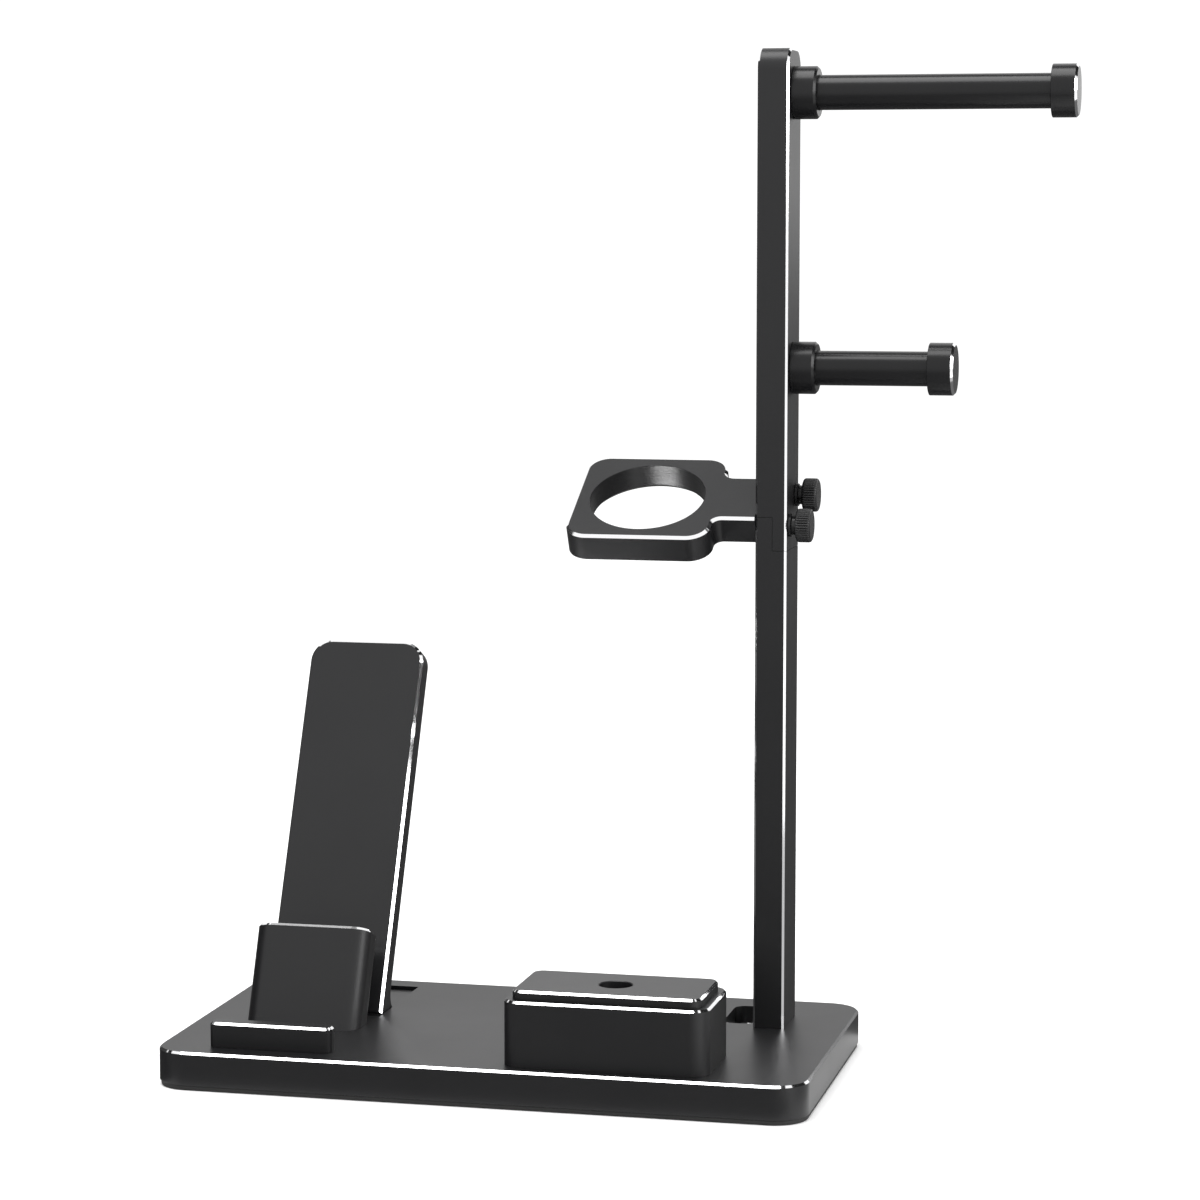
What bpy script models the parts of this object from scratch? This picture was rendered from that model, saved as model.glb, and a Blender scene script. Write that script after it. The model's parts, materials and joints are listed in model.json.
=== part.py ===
"""Headphone stand with a phone dock, an earbud dock and a watch ring.

A rectangular base plate carries three docks and a flat post.  The post is made in two lengths that
meet in a half lap.  Two thumbscrews close the lap and hold the arm of the watch ring.  Two pegs
stand out of the post for headphones.

The origin is the middle of the base's underside.  X runs along the base towards the pegs, Y runs
to the back and Z runs up.  All lengths are in metres.
"""

import math

import bmesh
import bpy
from mathutils import Matrix, Vector

MM = 0.001

# ---------------------------------------------------------------- driving dimensions

GAP = 0.3 * MM                    # air left between two pieces that touch
CHAMFER = 0.7 * MM                # bright cut along the outer edges
CURVE_STEPS = 8                   # segments in a quarter of a corner
ROUND_STEPS = 40                  # segments round a turned piece
HOLE_STEPS = 24                   # segments round a screw hole

BASE_LENGTH = 170 * MM
BASE_DEPTH = 94.3 * MM
BASE_THICKNESS = 8.7 * MM
BASE_CORNER = 9 * MM
PAD_THICKNESS = 1 * MM
PAD_INSET = 0.4 * MM

POST_THICKNESS = 8.2 * MM
POST_DEPTH = 18 * MM
POST_HEIGHT = 255.6 * MM          # above the base plate
POST_CORNER = 5.5 * MM
POST_X = 65.0 * MM                # middle of the post
POST_FRONT_Y = 13.0 * MM
LAP_BOTTOM = 126.3 * MM           # above the base plate
LAP_HEIGHT = 8.7 * MM
LAP_LOWER_SHARE = 4.4 * MM        # thickness of the lower post's tongue
POST_SCREW_SPACING = 9.5 * MM

ARM_TILT = math.radians(28.5)     # the ring leans back from level
ARM_THICKNESS = 7.5 * MM
ARM_NECK_WIDTH = 19.6 * MM
ARM_HEIGHT = 136.4 * MM           # middle of the arm's end above the base plate
RING_WIDTH = 38.4 * MM
RING_DEPTH = 38 * MM
RING_HOLE_RADIUS = 15.3 * MM
RING_REACH = 29.8 * MM            # from the post's side face to the middle of the ring
RING_OFFSET = -0.4 * MM           # of the ring's middle from the neck's, along the slope
RING_CORNER = 6 * MM
NECK_FILLET = 2.4 * MM
RING_UNDERCUT = 1.4 * MM          # lead-in under the ring's hole

CLAMP_SPREAD_Y = 9.8 * MM         # between the two thumbscrews
CLAMP_SPREAD_Z = 7.2 * MM
CLAMP_SCREW_RADIUS = 1.5 * MM
CLAMP_SCREW_REACH = 9 * MM        # length of thread inside the arm
CLAMP_NECK_RADIUS = 2.5 * MM
CLAMP_NECK_LENGTH = 0.9 * MM
CLAMP_HEAD_RADIUS = 4.4 * MM
CLAMP_HEAD_LENGTH = 4.0 * MM
CLAMP_HEAD_EDGE = 0.5 * MM
WASHER_RADIUS = 3.0 * MM
WASHER_THICKNESS = 0.6 * MM

PEG_ROD_RADIUS = 4.5 * MM
PEG_STUD_RADIUS = 2.5 * MM
PEG_STUD_LENGTH = 6 * MM
PEG_FLANGE_RADIUS = 6.8 * MM      # of the collar and of the end cap
PEG_COLLAR_LENGTH = 6.1 * MM
PEG_CAP_LENGTH = 6.7 * MM
PEG_SPIGOT_LENGTH = 4 * MM
PEG_CAP_RECESS = 1 * MM           # how far the rod's full width enters the cap
PEG_EDGE = 0.6 * MM
UPPER_PEG_LENGTH = 73.0 * MM      # from the post's side face to the end of the cap
LOWER_PEG_LENGTH = 42.4 * MM
UPPER_PEG_HEIGHT = 244.3 * MM     # above the base plate
LOWER_PEG_HEIGHT = 173.5 * MM

PHONE_X = -55.1 * MM              # middle line of the phone dock
BACKREST_TILT = math.radians(24.6)
CONNECTOR_TILT = math.radians(23)
BACKREST_WIDTH = 32.4 * MM
BACKREST_HEIGHT = 95.7 * MM       # above the base plate
BACKREST_THICKNESS = 6.3 * MM
BACKREST_CORNER = 6 * MM
BACKREST_FRONT_Y = 5.4 * MM       # where the front face meets the base plate
BACKREST_FOOT_THICKNESS = 4 * MM
BACKREST_FOOT_FILLET = 4 * MM
BACKREST_RELIEF = 0.4 * MM         # the front face steps back by this inside the plate
FOOT_RECESS = 0.9 * MM            # the foot lies this far below the plate's top
POCKET_BACK_Y = 39.7 * MM
CONNECTOR_WIDTH = 31.2 * MM
CONNECTOR_HEIGHT = 25.9 * MM      # of the front edge above the base plate
CONNECTOR_THICKNESS = 12.6 * MM
CONNECTOR_CORNER = 4.5 * MM
CONNECTOR_FRONT_Y = -15.7 * MM

STOP_WIDTH = 32.8 * MM
STOP_DEPTH = 5.1 * MM
STOP_HEIGHT = 6.5 * MM
STOP_CORNER = 2.0 * MM
STOP_FRONT_Y = -40.1 * MM

DOCK_X = 33.5 * MM                # middle of the earbud dock
DOCK_Y = -28.7 * MM
DOCK_WIDTH = 53 * MM
DOCK_DEPTH = 29.4 * MM
DOCK_HEIGHT = 16.9 * MM
DOCK_CORNER = 5 * MM
SLAB_INSET = 2.1 * MM
SLAB_THICKNESS = 2.4 * MM
SLAB_CORNER = 3 * MM
DOCK_BORE_RADIUS = 4.3 * MM

OPENING_WIDTH = 8.4 * MM          # opening for the leads beside the post
OPENING_DEPTH = 20.6 * MM
OPENING_CORNER = 3 * MM
OPENING_WALL = 0.7 * MM           # between the opening and the post's side
OPENING_FRONT_Y = 17.2 * MM
GROOVE_WIDTH = 6 * MM             # grooves for the leads under the base
GROOVE_DEPTH = 4 * MM

FIXING_RADIUS = 1.5 * MM          # screws that hold the docks from below
FIXING_HEAD_RADIUS = 2.8 * MM
FIXING_HEAD_HEIGHT = 1.7 * MM
POST_SCREW_RADIUS = 2.0 * MM
POST_SCREW_HEAD_RADIUS = 3.5 * MM
POST_SCREW_HEAD_HEIGHT = 2.6 * MM
POST_SCREW_REACH = 14 * MM        # into the lower post
DOCK_SCREW_REACH = 8 * MM
CONNECTOR_SCREW_REACH = 6 * MM
STOP_SCREW_REACH = 4 * MM
BACKREST_SCREW_REACH = 3 * MM
DOCK_SCREW_SPACING = 36 * MM
CONNECTOR_SCREW_SPACING = 16 * MM
STOP_SCREW_SPACING = 20 * MM
BACKREST_SCREW_SPACING = 18 * MM
BACKREST_SCREW_INSET = 10 * MM    # from the back of the foot

# ---------------------------------------------------------------- worked-out places

BASE_BOTTOM_Z = PAD_THICKNESS + GAP
BASE_TOP_Z = BASE_BOTTOM_Z + BASE_THICKNESS
SEAT_Z = BASE_TOP_Z + GAP         # underside of what stands on the plate
POST_SIDE_X = POST_X + POST_THICKNESS / 2
POST_INNER_X = POST_X - POST_THICKNESS / 2
POST_Y = POST_FRONT_Y + POST_DEPTH / 2
LAP_SPLIT_X = POST_INNER_X + LAP_LOWER_SHARE
ARM_Z = BASE_TOP_Z + ARM_HEIGHT
ARM_END_X = POST_INNER_X - GAP
POCKET_FLOOR_Z = BASE_TOP_Z - FOOT_RECESS - BACKREST_FOOT_THICKNESS - GAP
BACKREST_LEAN = math.tan(BACKREST_TILT)
SCREW_HEAD_Z = BASE_BOTTOM_Z + GAP


# ---------------------------------------------------------------- scene and materials

def clear_scene():
    """Remove what the scene holds, and give back the two collections used here."""
    for old in list(bpy.data.objects):
        bpy.data.objects.remove(old, do_unlink=True)
    collections = []
    for name in ("headphone_stand", "cutters"):
        collection = bpy.data.collections.get(name) or bpy.data.collections.new(name)
        if name not in bpy.context.scene.collection.children:
            bpy.context.scene.collection.children.link(collection)
        collections.append(collection)
    return collections


def make_material(name, colour, roughness, metallic):
    """A Principled material of one colour."""
    material = bpy.data.materials.new(name)
    material.use_nodes = True
    shader = material.node_tree.nodes["Principled BSDF"]
    shader.inputs["Base Color"].default_value = (*colour, 1)
    shader.inputs["Roughness"].default_value = roughness
    shader.inputs["Metallic"].default_value = metallic
    return material


PARTS, CUTTERS = clear_scene()
ANODISED = make_material("black_anodised", (0.022, 0.022, 0.024), 0.38, 0.8)
RUBBER = make_material("black_rubber", (0.012, 0.012, 0.012), 0.85, 0.0)
STEEL = make_material("black_steel", (0.03, 0.03, 0.032), 0.3, 1.0)
NYLON = make_material("black_nylon", (0.015, 0.015, 0.015), 0.55, 0.0)


# ---------------------------------------------------------------- shaping helpers

def add_object(name, mesh, material=None):
    """Put a mesh in the scene, as a part or, with no material, as a cutter."""
    thing = bpy.data.objects.new(name, mesh)
    if material is None:
        CUTTERS.objects.link(thing)
        thing.hide_render = True
        thing.display_type = "WIRE"
    else:
        PARTS.objects.link(thing)
        mesh.materials.append(material)
    return thing


def mesh_from(name, shape):
    """Write a bmesh to a new mesh and free it."""
    mesh = bpy.data.meshes.new(name)
    bmesh.ops.recalc_face_normals(shape, faces=shape.faces)
    shape.to_mesh(mesh)
    shape.free()
    return mesh


def bevel_where(shape, test, width, segments=1):
    """Bevel the edges that pass a test: one segment is a chamfer, more make it round."""
    edges = [edge for edge in shape.edges if test(edge)]
    bmesh.ops.bevel(shape, geom=edges, offset=width, offset_type="OFFSET", segments=segments,
                    profile=0.5, affect="EDGES", clamp_overlap=False)


def runs_along(edge, axis):
    """Whether an edge runs along an axis, given as 0, 1 or 2."""
    direction = (edge.verts[1].co - edge.verts[0].co).normalized()
    return abs(direction[axis]) > 0.999


def lies_at(edge, axis, value):
    """Whether an edge lies in the plane where one coordinate has a given value."""
    return all(abs(vert.co[axis] - value) < 0.01 * MM for vert in edge.verts)


def rounded_block(width, depth, height, corner, top_chamfer=0.0):
    """A block from z = 0 up, centred in X and Y, with round upright edges."""
    shape = bmesh.new()
    bmesh.ops.create_cube(shape, size=1)
    bmesh.ops.scale(shape, vec=(width, depth, height), verts=shape.verts)
    bmesh.ops.translate(shape, vec=(0, 0, height / 2), verts=shape.verts)
    if corner:
        bevel_where(shape, lambda edge: runs_along(edge, 2), corner, CURVE_STEPS)
    if top_chamfer:
        bevel_where(shape, lambda edge: lies_at(edge, 2, height), top_chamfer)
    return shape


def box_cutter(name, low, high):
    """A cutter between two corners."""
    shape = bmesh.new()
    bmesh.ops.create_cube(shape, size=1)
    bmesh.ops.scale(shape, vec=Vector(high) - Vector(low), verts=shape.verts)
    bmesh.ops.translate(shape, vec=(Vector(high) + Vector(low)) / 2, verts=shape.verts)
    return add_object(name, mesh_from(name, shape))


def round_cutter(name, start, end, radius, steps=HOLE_STEPS, end_radius=None):
    """A round cutter between two points on its axis."""
    start, end = Vector(start), Vector(end)
    along = end - start
    shape = bmesh.new()
    bmesh.ops.create_cone(shape, cap_ends=True, segments=steps, radius1=radius,
                          radius2=radius if end_radius is None else end_radius,
                          depth=along.length)
    turn = Vector((0, 0, 1)).rotation_difference(along).to_matrix().to_4x4()
    place = Matrix.Translation((start + end) / 2) @ turn
    bmesh.ops.transform(shape, matrix=place, verts=shape.verts)
    return add_object(name, mesh_from(name, shape))


def cut(thing, *cutters):
    """Take each cutter out of a part."""
    for cutter in cutters:
        modifier = thing.modifiers.new(cutter.name, "BOOLEAN")
        modifier.operation = "DIFFERENCE"
        modifier.solver = "EXACT"
        modifier.object = cutter


def turned(name, profile, place, material, steps=ROUND_STEPS):
    """Turn a profile of (distance along X, radius) points round an axis parallel to X.

    The profile runs from the far end back to the near one.  It closes on the axis, or on its own
    first point where the piece is a ring.
    """
    mesh = bpy.data.meshes.new(name)
    points = [(radius, 0, along) for along, radius in profile]
    edges = [(index, index + 1) for index in range(len(points) - 1)]
    if min(radius for _, radius in profile) > 0:
        edges.append((len(points) - 1, 0))
    mesh.from_pydata(points, edges, [])
    thing = add_object(name, mesh, material)
    screw = thing.modifiers.new("turn", "SCREW")
    screw.axis = "Z"
    screw.steps = steps
    screw.render_steps = steps
    screw.use_merge_vertices = True
    screw.merge_threshold = 0.01 * MM
    screw.use_smooth_shade = True
    thing.location = place
    thing.rotation_euler = (0, math.pi / 2, 0)
    return thing


def rounded_outline(corners):
    """Points of a closed outline from (x, y, radius) corners, bulging or hollow."""
    points = []
    for index, (x, y, radius) in enumerate(corners):
        here = Vector((x, y))
        before = (Vector(corners[index - 1][:2]) - here).normalized()
        after = (Vector(corners[(index + 1) % len(corners)][:2]) - here).normalized()
        if not radius:
            points.append(here)
            continue
        half = before.angle(after) / 2
        centre = here + (before + after).normalized() * radius / math.sin(half)
        first = here + before * radius / math.tan(half) - centre
        sweep = first.angle_signed(here + after * radius / math.tan(half) - centre)
        for step in range(CURVE_STEPS + 1):
            turn = Matrix.Rotation(-sweep * step / CURVE_STEPS, 2)
            points.append(centre + turn @ first)
    return points


def plate_from_outline(name, corners, thickness):
    """A flat plate of a 2D curve's shape, centred on z = 0, as a bmesh."""
    curve = bpy.data.curves.new(name, "CURVE")
    curve.dimensions = "2D"
    curve.fill_mode = "BOTH"
    curve.extrude = thickness / 2
    outline = rounded_outline(corners)
    spline = curve.splines.new("POLY")
    spline.points.add(len(outline) - 1)
    for point, place in zip(spline.points, outline):
        point.co = (place.x, place.y, 0, 1)
    spline.use_cyclic_u = True
    holder = bpy.data.objects.new(name + "_outline", curve)
    PARTS.objects.link(holder)
    graph = bpy.context.evaluated_depsgraph_get()
    mesh = bpy.data.meshes.new_from_object(holder.evaluated_get(graph))
    bpy.data.objects.remove(holder, do_unlink=True)
    shape = bmesh.new()
    shape.from_mesh(mesh)
    bpy.data.meshes.remove(mesh)
    bmesh.ops.remove_doubles(shape, verts=shape.verts, dist=0.001 * MM)
    bmesh.ops.dissolve_limit(shape, angle_limit=math.radians(0.5), verts=shape.verts,
                             edges=shape.edges)
    return shape


def outer_rim(height):
    """A test for the edges round a plate's face at a height."""
    return lambda edge: lies_at(edge, 2, height) and edge.calc_face_angle(0) > math.radians(60)


# ---------------------------------------------------------------- base

def dock_leads():
    """Cutters for the earbud dock's lead: a bore, and a groove to the back edge."""
    bore = round_cutter("dock_bore_cut", (DOCK_X, DOCK_Y, -GAP),
                        (DOCK_X, DOCK_Y, SEAT_Z + DOCK_HEIGHT + GAP + SLAB_THICKNESS + GAP),
                        DOCK_BORE_RADIUS, ROUND_STEPS)
    groove = box_cutter("dock_groove_cut", (DOCK_X - GROOVE_WIDTH / 2, DOCK_Y, -GAP),
                        (DOCK_X + GROOVE_WIDTH / 2, BASE_DEPTH, BASE_BOTTOM_Z + GROOVE_DEPTH))
    return bore, groove


def opening_leads():
    """Cutters for the opening beside the post, and for its groove to the back edge."""
    right = POST_INNER_X - OPENING_WALL
    middle = right - OPENING_WIDTH / 2
    shape = rounded_block(OPENING_WIDTH, OPENING_DEPTH, BASE_TOP_Z + 2 * GAP, OPENING_CORNER)
    bmesh.ops.translate(shape, vec=(middle, OPENING_FRONT_Y + OPENING_DEPTH / 2, -GAP),
                        verts=shape.verts)
    opening = add_object("opening_cut", mesh_from("opening_cut", shape))
    groove = box_cutter("opening_groove_cut",
                        (middle - GROOVE_WIDTH / 2, OPENING_FRONT_Y + OPENING_DEPTH / 2, -GAP),
                        (middle + GROOVE_WIDTH / 2, BASE_DEPTH, BASE_BOTTOM_Z + GROOVE_DEPTH))
    return opening, groove


def pocket_cutter():
    """Cutter for the pocket that the backrest's foot lies in."""
    half = BACKREST_WIDTH / 2 + GAP
    front = BACKREST_FRONT_Y - (BASE_TOP_Z - POCKET_FLOOR_Z) * BACKREST_LEAN - GAP
    return box_cutter("pocket_cut", (PHONE_X - half, front, POCKET_FLOOR_Z),
                      (PHONE_X + half, POCKET_BACK_Y, BASE_TOP_Z + GAP))


def make_base():
    """The base plate and the rubber pad under it."""
    shape = rounded_block(BASE_LENGTH, BASE_DEPTH, BASE_THICKNESS, BASE_CORNER, CHAMFER)
    plate = add_object("base_plate", mesh_from("base_plate", shape), ANODISED)
    plate.location.z = BASE_BOTTOM_Z
    shape = rounded_block(BASE_LENGTH - 2 * PAD_INSET, BASE_DEPTH - 2 * PAD_INSET, PAD_THICKNESS,
                          BASE_CORNER - PAD_INSET)
    pad = add_object("base_pad", mesh_from("base_pad", shape), RUBBER)
    leads = [*dock_leads(), *opening_leads()]
    cut(plate, pocket_cutter(), *leads)
    cut(pad, *leads)
    return plate, leads[0]


# ---------------------------------------------------------------- fixing screws

def fix_from_below(plate, upper, name, places, size, reach, seat=SEAT_Z):
    """Screws that come up through the base plate into the part that stands on it.

    size is the thread's radius, the head's radius and the head's height, and reach is the length
    of thread above seat, the underside of the held part.
    """
    radius, head_radius, head_height = size
    for side, (x, y) in zip(("left", "right"), places):
        head_top = SCREW_HEAD_Z + head_height
        tip = seat + reach
        profile = [(tip, 0), (tip, radius - GAP), (tip - GAP, radius), (head_top, radius),
                   (head_top, head_radius), (SCREW_HEAD_Z, head_radius), (SCREW_HEAD_Z, 0)]
        screw = turned(f"{name}_{side}", profile, (x, y, 0), STEEL, HOLE_STEPS)
        screw.rotation_euler = (0, 0, 0)
        hole = round_cutter(f"{name}_{side}_hole", (x, y, 0), (x, y, tip + GAP), radius + GAP)
        recess = round_cutter(f"{name}_{side}_recess", (x, y, 0), (x, y, head_top + GAP),
                              head_radius + GAP)
        cut(plate, hole, recess)
        cut(upper, hole)


def spread_in_x(x, y, spacing):
    """Two places either side of a point, along X."""
    return (x - spacing / 2, y), (x + spacing / 2, y)


# ---------------------------------------------------------------- post

def post_blank(name):
    """The whole post as one bar, from which each length is cut."""
    top = BASE_TOP_Z + POST_HEIGHT
    half = POST_DEPTH / 2
    corners = [(SEAT_Z, -half, 0), (top, -half, POST_CORNER), (top, half, POST_CORNER),
               (SEAT_Z, half, 0)]
    shape = plate_from_outline(name, corners, POST_THICKNESS)
    for face in (-POST_THICKNESS / 2, POST_THICKNESS / 2):
        rim = outer_rim(face)
        bevel_where(shape, lambda edge: rim(edge) and not lies_at(edge, 0, SEAT_Z), CHAMFER)
    stand = Matrix(((0, 0, 1, POST_X), (0, 1, 0, POST_Y), (1, 0, 0, 0), (0, 0, 0, 1)))
    bmesh.ops.transform(shape, matrix=stand, verts=shape.verts)
    return add_object(name, mesh_from(name, shape), ANODISED)


def clamp_places():
    """Y and Z of the upper and the lower thumbscrew."""
    rise = CLAMP_SPREAD_Z / 2
    run = CLAMP_SPREAD_Y / 2
    return {"upper": (POST_Y + run, ARM_Z + rise), "lower": (POST_Y - run, ARM_Z - rise)}


def make_post():
    """The lower and the upper post, with the half lap where they meet."""
    lower = post_blank("lower_post")
    upper = post_blank("upper_post")
    front = POST_FRONT_Y - 2 * MM
    back = POST_FRONT_Y + POST_DEPTH + 2 * MM
    left = POST_INNER_X - 2 * MM
    right = POST_SIDE_X + 2 * MM
    top = BASE_TOP_Z + POST_HEIGHT + 2 * MM
    lap_low = BASE_TOP_Z + LAP_BOTTOM
    lap_high = lap_low + LAP_HEIGHT
    cut(lower,
        box_cutter("above_lower_post", (left, front, lap_high), (right, back, top)),
        box_cutter("beside_lower_tongue", (LAP_SPLIT_X, front, lap_low), (right, back, top)))
    cut(upper,
        box_cutter("below_upper_post", (left, front, 0), (right, back, lap_low + GAP)),
        box_cutter("beside_upper_tongue", (left, front, 0),
                   (LAP_SPLIT_X + GAP, back, lap_high + GAP)))
    return lower, upper


# ---------------------------------------------------------------- watch arm and its thumbscrews

def make_arm(lower_post, upper_post):
    """The arm with the watch ring, and the two thumbscrews that hold it to the post."""
    left = ARM_END_X - RING_REACH - RING_WIDTH / 2
    right = left + RING_WIDTH
    low = RING_OFFSET - RING_DEPTH / 2
    high = RING_OFFSET + RING_DEPTH / 2
    neck = ARM_NECK_WIDTH / 2
    corners = [(left, low, RING_CORNER), (left, high, RING_CORNER), (right, high, RING_CORNER),
               (right, neck, NECK_FILLET), (ARM_END_X, neck, 0), (ARM_END_X, -neck, 0),
               (right, -neck, NECK_FILLET), (right, low, RING_CORNER)]
    shape = plate_from_outline("watch_arm", corners, ARM_THICKNESS)
    rim = outer_rim(ARM_THICKNESS / 2)
    bevel_where(shape, lambda edge: rim(edge) and not lies_at(edge, 0, ARM_END_X), CHAMFER)
    arm = add_object("watch_arm", mesh_from("watch_arm", shape), ANODISED)
    arm.rotation_euler = (ARM_TILT, 0, 0)
    arm.location = (0, POST_Y, ARM_Z)

    slope = Matrix.Translation((0, POST_Y, ARM_Z)) @ Matrix.Rotation(ARM_TILT, 4, "X")
    ring_x = ARM_END_X - RING_REACH
    reach = ARM_THICKNESS / 2 + GAP
    above = slope @ Vector((ring_x, RING_OFFSET, reach))
    below = slope @ Vector((ring_x, RING_OFFSET, -reach))
    inner = slope @ Vector((ring_x, RING_OFFSET, RING_UNDERCUT - ARM_THICKNESS / 2))
    cut(arm, round_cutter("ring_cut", above, below, RING_HOLE_RADIUS, 2 * ROUND_STEPS),
        round_cutter("ring_undercut", inner, below, RING_HOLE_RADIUS - 0.05 * MM,
                     2 * ROUND_STEPS, RING_HOLE_RADIUS + RING_UNDERCUT + GAP))

    washer_x = POST_SIDE_X + GAP
    neck_x = washer_x + WASHER_THICKNESS + GAP
    head_x = neck_x + CLAMP_NECK_LENGTH
    end_x = head_x + CLAMP_HEAD_LENGTH
    tip_x = ARM_END_X - CLAMP_SCREW_REACH
    for level, (y, z) in clamp_places().items():
        profile = [(end_x, 0), (end_x, CLAMP_HEAD_RADIUS - CLAMP_HEAD_EDGE),
                   (end_x - CLAMP_HEAD_EDGE, CLAMP_HEAD_RADIUS),
                   (head_x + CLAMP_HEAD_EDGE, CLAMP_HEAD_RADIUS),
                   (head_x, CLAMP_HEAD_RADIUS - CLAMP_HEAD_EDGE), (head_x, CLAMP_NECK_RADIUS),
                   (neck_x, CLAMP_NECK_RADIUS), (neck_x, CLAMP_SCREW_RADIUS),
                   (tip_x + GAP, CLAMP_SCREW_RADIUS), (tip_x, CLAMP_SCREW_RADIUS - GAP),
                   (tip_x, 0)]
        turned(f"{level}_thumbscrew", profile, (0, y, z), STEEL)
        hole_radius = CLAMP_SCREW_RADIUS + GAP
        washer = [(washer_x + WASHER_THICKNESS, hole_radius),
                  (washer_x + WASHER_THICKNESS, WASHER_RADIUS), (washer_x, WASHER_RADIUS),
                  (washer_x, hole_radius)]
        turned(f"{level}_washer", washer, (0, y, z), NYLON, HOLE_STEPS)
        hole = round_cutter(f"{level}_clamp_hole", (tip_x - GAP, y, z),
                            (POST_SIDE_X + GAP, y, z), hole_radius)
        cut(arm, hole)
        cut(upper_post, hole)
        if level == "lower":
            cut(lower_post, hole)


# ---------------------------------------------------------------- pegs

def make_peg(level, height, length, post):
    """A peg: a rod with a stud in the post, a collar at its root and a cap on its end."""
    z = BASE_TOP_Z + height
    place = (0, POST_Y, z)
    root = POST_SIDE_X + GAP
    end = POST_SIDE_X + length
    cap_root = end - PEG_CAP_LENGTH
    recess_end = cap_root + PEG_CAP_RECESS
    shoulder = recess_end - GAP
    stud_end = POST_SIDE_X - PEG_STUD_LENGTH
    spigot_end = shoulder + PEG_SPIGOT_LENGTH
    rod = [(spigot_end, 0), (spigot_end, PEG_STUD_RADIUS), (shoulder, PEG_STUD_RADIUS),
           (shoulder, PEG_ROD_RADIUS), (root, PEG_ROD_RADIUS), (root, PEG_STUD_RADIUS),
           (stud_end, PEG_STUD_RADIUS), (stud_end, 0)]
    turned(f"{level}_peg_rod", rod, place, ANODISED)
    collar_end = root + PEG_COLLAR_LENGTH
    inner = PEG_ROD_RADIUS + GAP
    collar = [(collar_end, inner), (collar_end, PEG_FLANGE_RADIUS - PEG_EDGE),
              (collar_end - PEG_EDGE, PEG_FLANGE_RADIUS), (root, PEG_FLANGE_RADIUS), (root, inner)]
    turned(f"{level}_peg_collar", collar, place, ANODISED)
    socket_end = spigot_end + GAP
    socket_radius = PEG_STUD_RADIUS + GAP
    cap = [(end, 0), (end, PEG_FLANGE_RADIUS - PEG_EDGE), (end - PEG_EDGE, PEG_FLANGE_RADIUS),
           (cap_root, PEG_FLANGE_RADIUS), (cap_root, inner), (recess_end, inner),
           (recess_end, socket_radius), (socket_end, socket_radius), (socket_end, 0)]
    turned(f"{level}_peg_cap", cap, place, ANODISED)
    cut(post, round_cutter(f"{level}_stud_hole", (stud_end - GAP, POST_Y, z),
                           (POST_SIDE_X + GAP, POST_Y, z), PEG_STUD_RADIUS + GAP))


# ---------------------------------------------------------------- phone dock

def make_backrest(plate):
    """The backrest, an angle whose foot lies in the base plate's pocket."""
    floor = POCKET_FLOOR_Z + GAP
    foot_top = floor + BACKREST_FOOT_THICKNESS
    lean = Vector((math.sin(BACKREST_TILT), math.cos(BACKREST_TILT)))
    through = Vector((lean.y, -lean.x))
    front_top = Vector((BACKREST_FRONT_Y, BASE_TOP_Z)) + lean * BACKREST_HEIGHT / lean.y
    back_top = front_top + through * BACKREST_THICKNESS
    back_shift = BACKREST_THICKNESS / lean.y
    relieved_y = BACKREST_FRONT_Y + BACKREST_RELIEF / lean.y
    relieved_low = relieved_y - (BASE_TOP_Z - floor) * BACKREST_LEAN
    inner_y = BACKREST_FRONT_Y + back_shift - (BASE_TOP_Z - foot_top) * BACKREST_LEAN
    foot_end = POCKET_BACK_Y - GAP
    corners = [(floor, relieved_low, 0), (BASE_TOP_Z, relieved_y, 0),
               (BASE_TOP_Z, BACKREST_FRONT_Y, 0), (front_top.y, front_top.x, 0),
               (back_top.y, back_top.x, 0), (foot_top, inner_y, BACKREST_FOOT_FILLET),
               (foot_top, foot_end, 0), (floor, foot_end, 0)]
    shape = plate_from_outline("phone_backrest", corners, BACKREST_WIDTH)
    stand = Matrix(((0, 0, 1, PHONE_X), (0, 1, 0, 0), (1, 0, 0, 0), (0, 0, 0, 1)))
    bmesh.ops.transform(shape, matrix=stand, verts=shape.verts)

    def beyond(vert, start, facing):
        """How far a corner lies past a line in the Y-Z plane."""
        return (Vector((vert.co.y, vert.co.z)) - start).dot(facing)

    def at_top(edge):
        """The two edges across the thickness at the top corners."""
        return (abs(edge.verts[0].co.x - edge.verts[1].co.x) < 0.01 * MM
                and all(abs(beyond(vert, front_top, lean)) < 0.01 * MM for vert in edge.verts))

    bevel_where(shape, at_top, BACKREST_CORNER, CURVE_STEPS)

    def on_face(edge, start):
        """The rim of the front or the back face, above the foot."""
        return (all(abs(beyond(vert, start, through)) < 0.01 * MM for vert in edge.verts)
                and not runs_along(edge, 0) | lies_at(edge, 2, floor)
                or runs_along(edge, 0) and all(abs(beyond(vert, start, lean)) < 0.01 * MM
                                               for vert in edge.verts))

    bevel_where(shape, lambda edge: on_face(edge, front_top), CHAMFER)
    backrest = add_object("phone_backrest", mesh_from("phone_backrest", shape), ANODISED)
    fix_from_below(plate, backrest, "backrest_screw",
                   spread_in_x(PHONE_X, foot_end - BACKREST_SCREW_INSET, BACKREST_SCREW_SPACING),
                   (FIXING_RADIUS, FIXING_HEAD_RADIUS, FIXING_HEAD_HEIGHT),
                   BACKREST_SCREW_REACH, floor)


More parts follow.
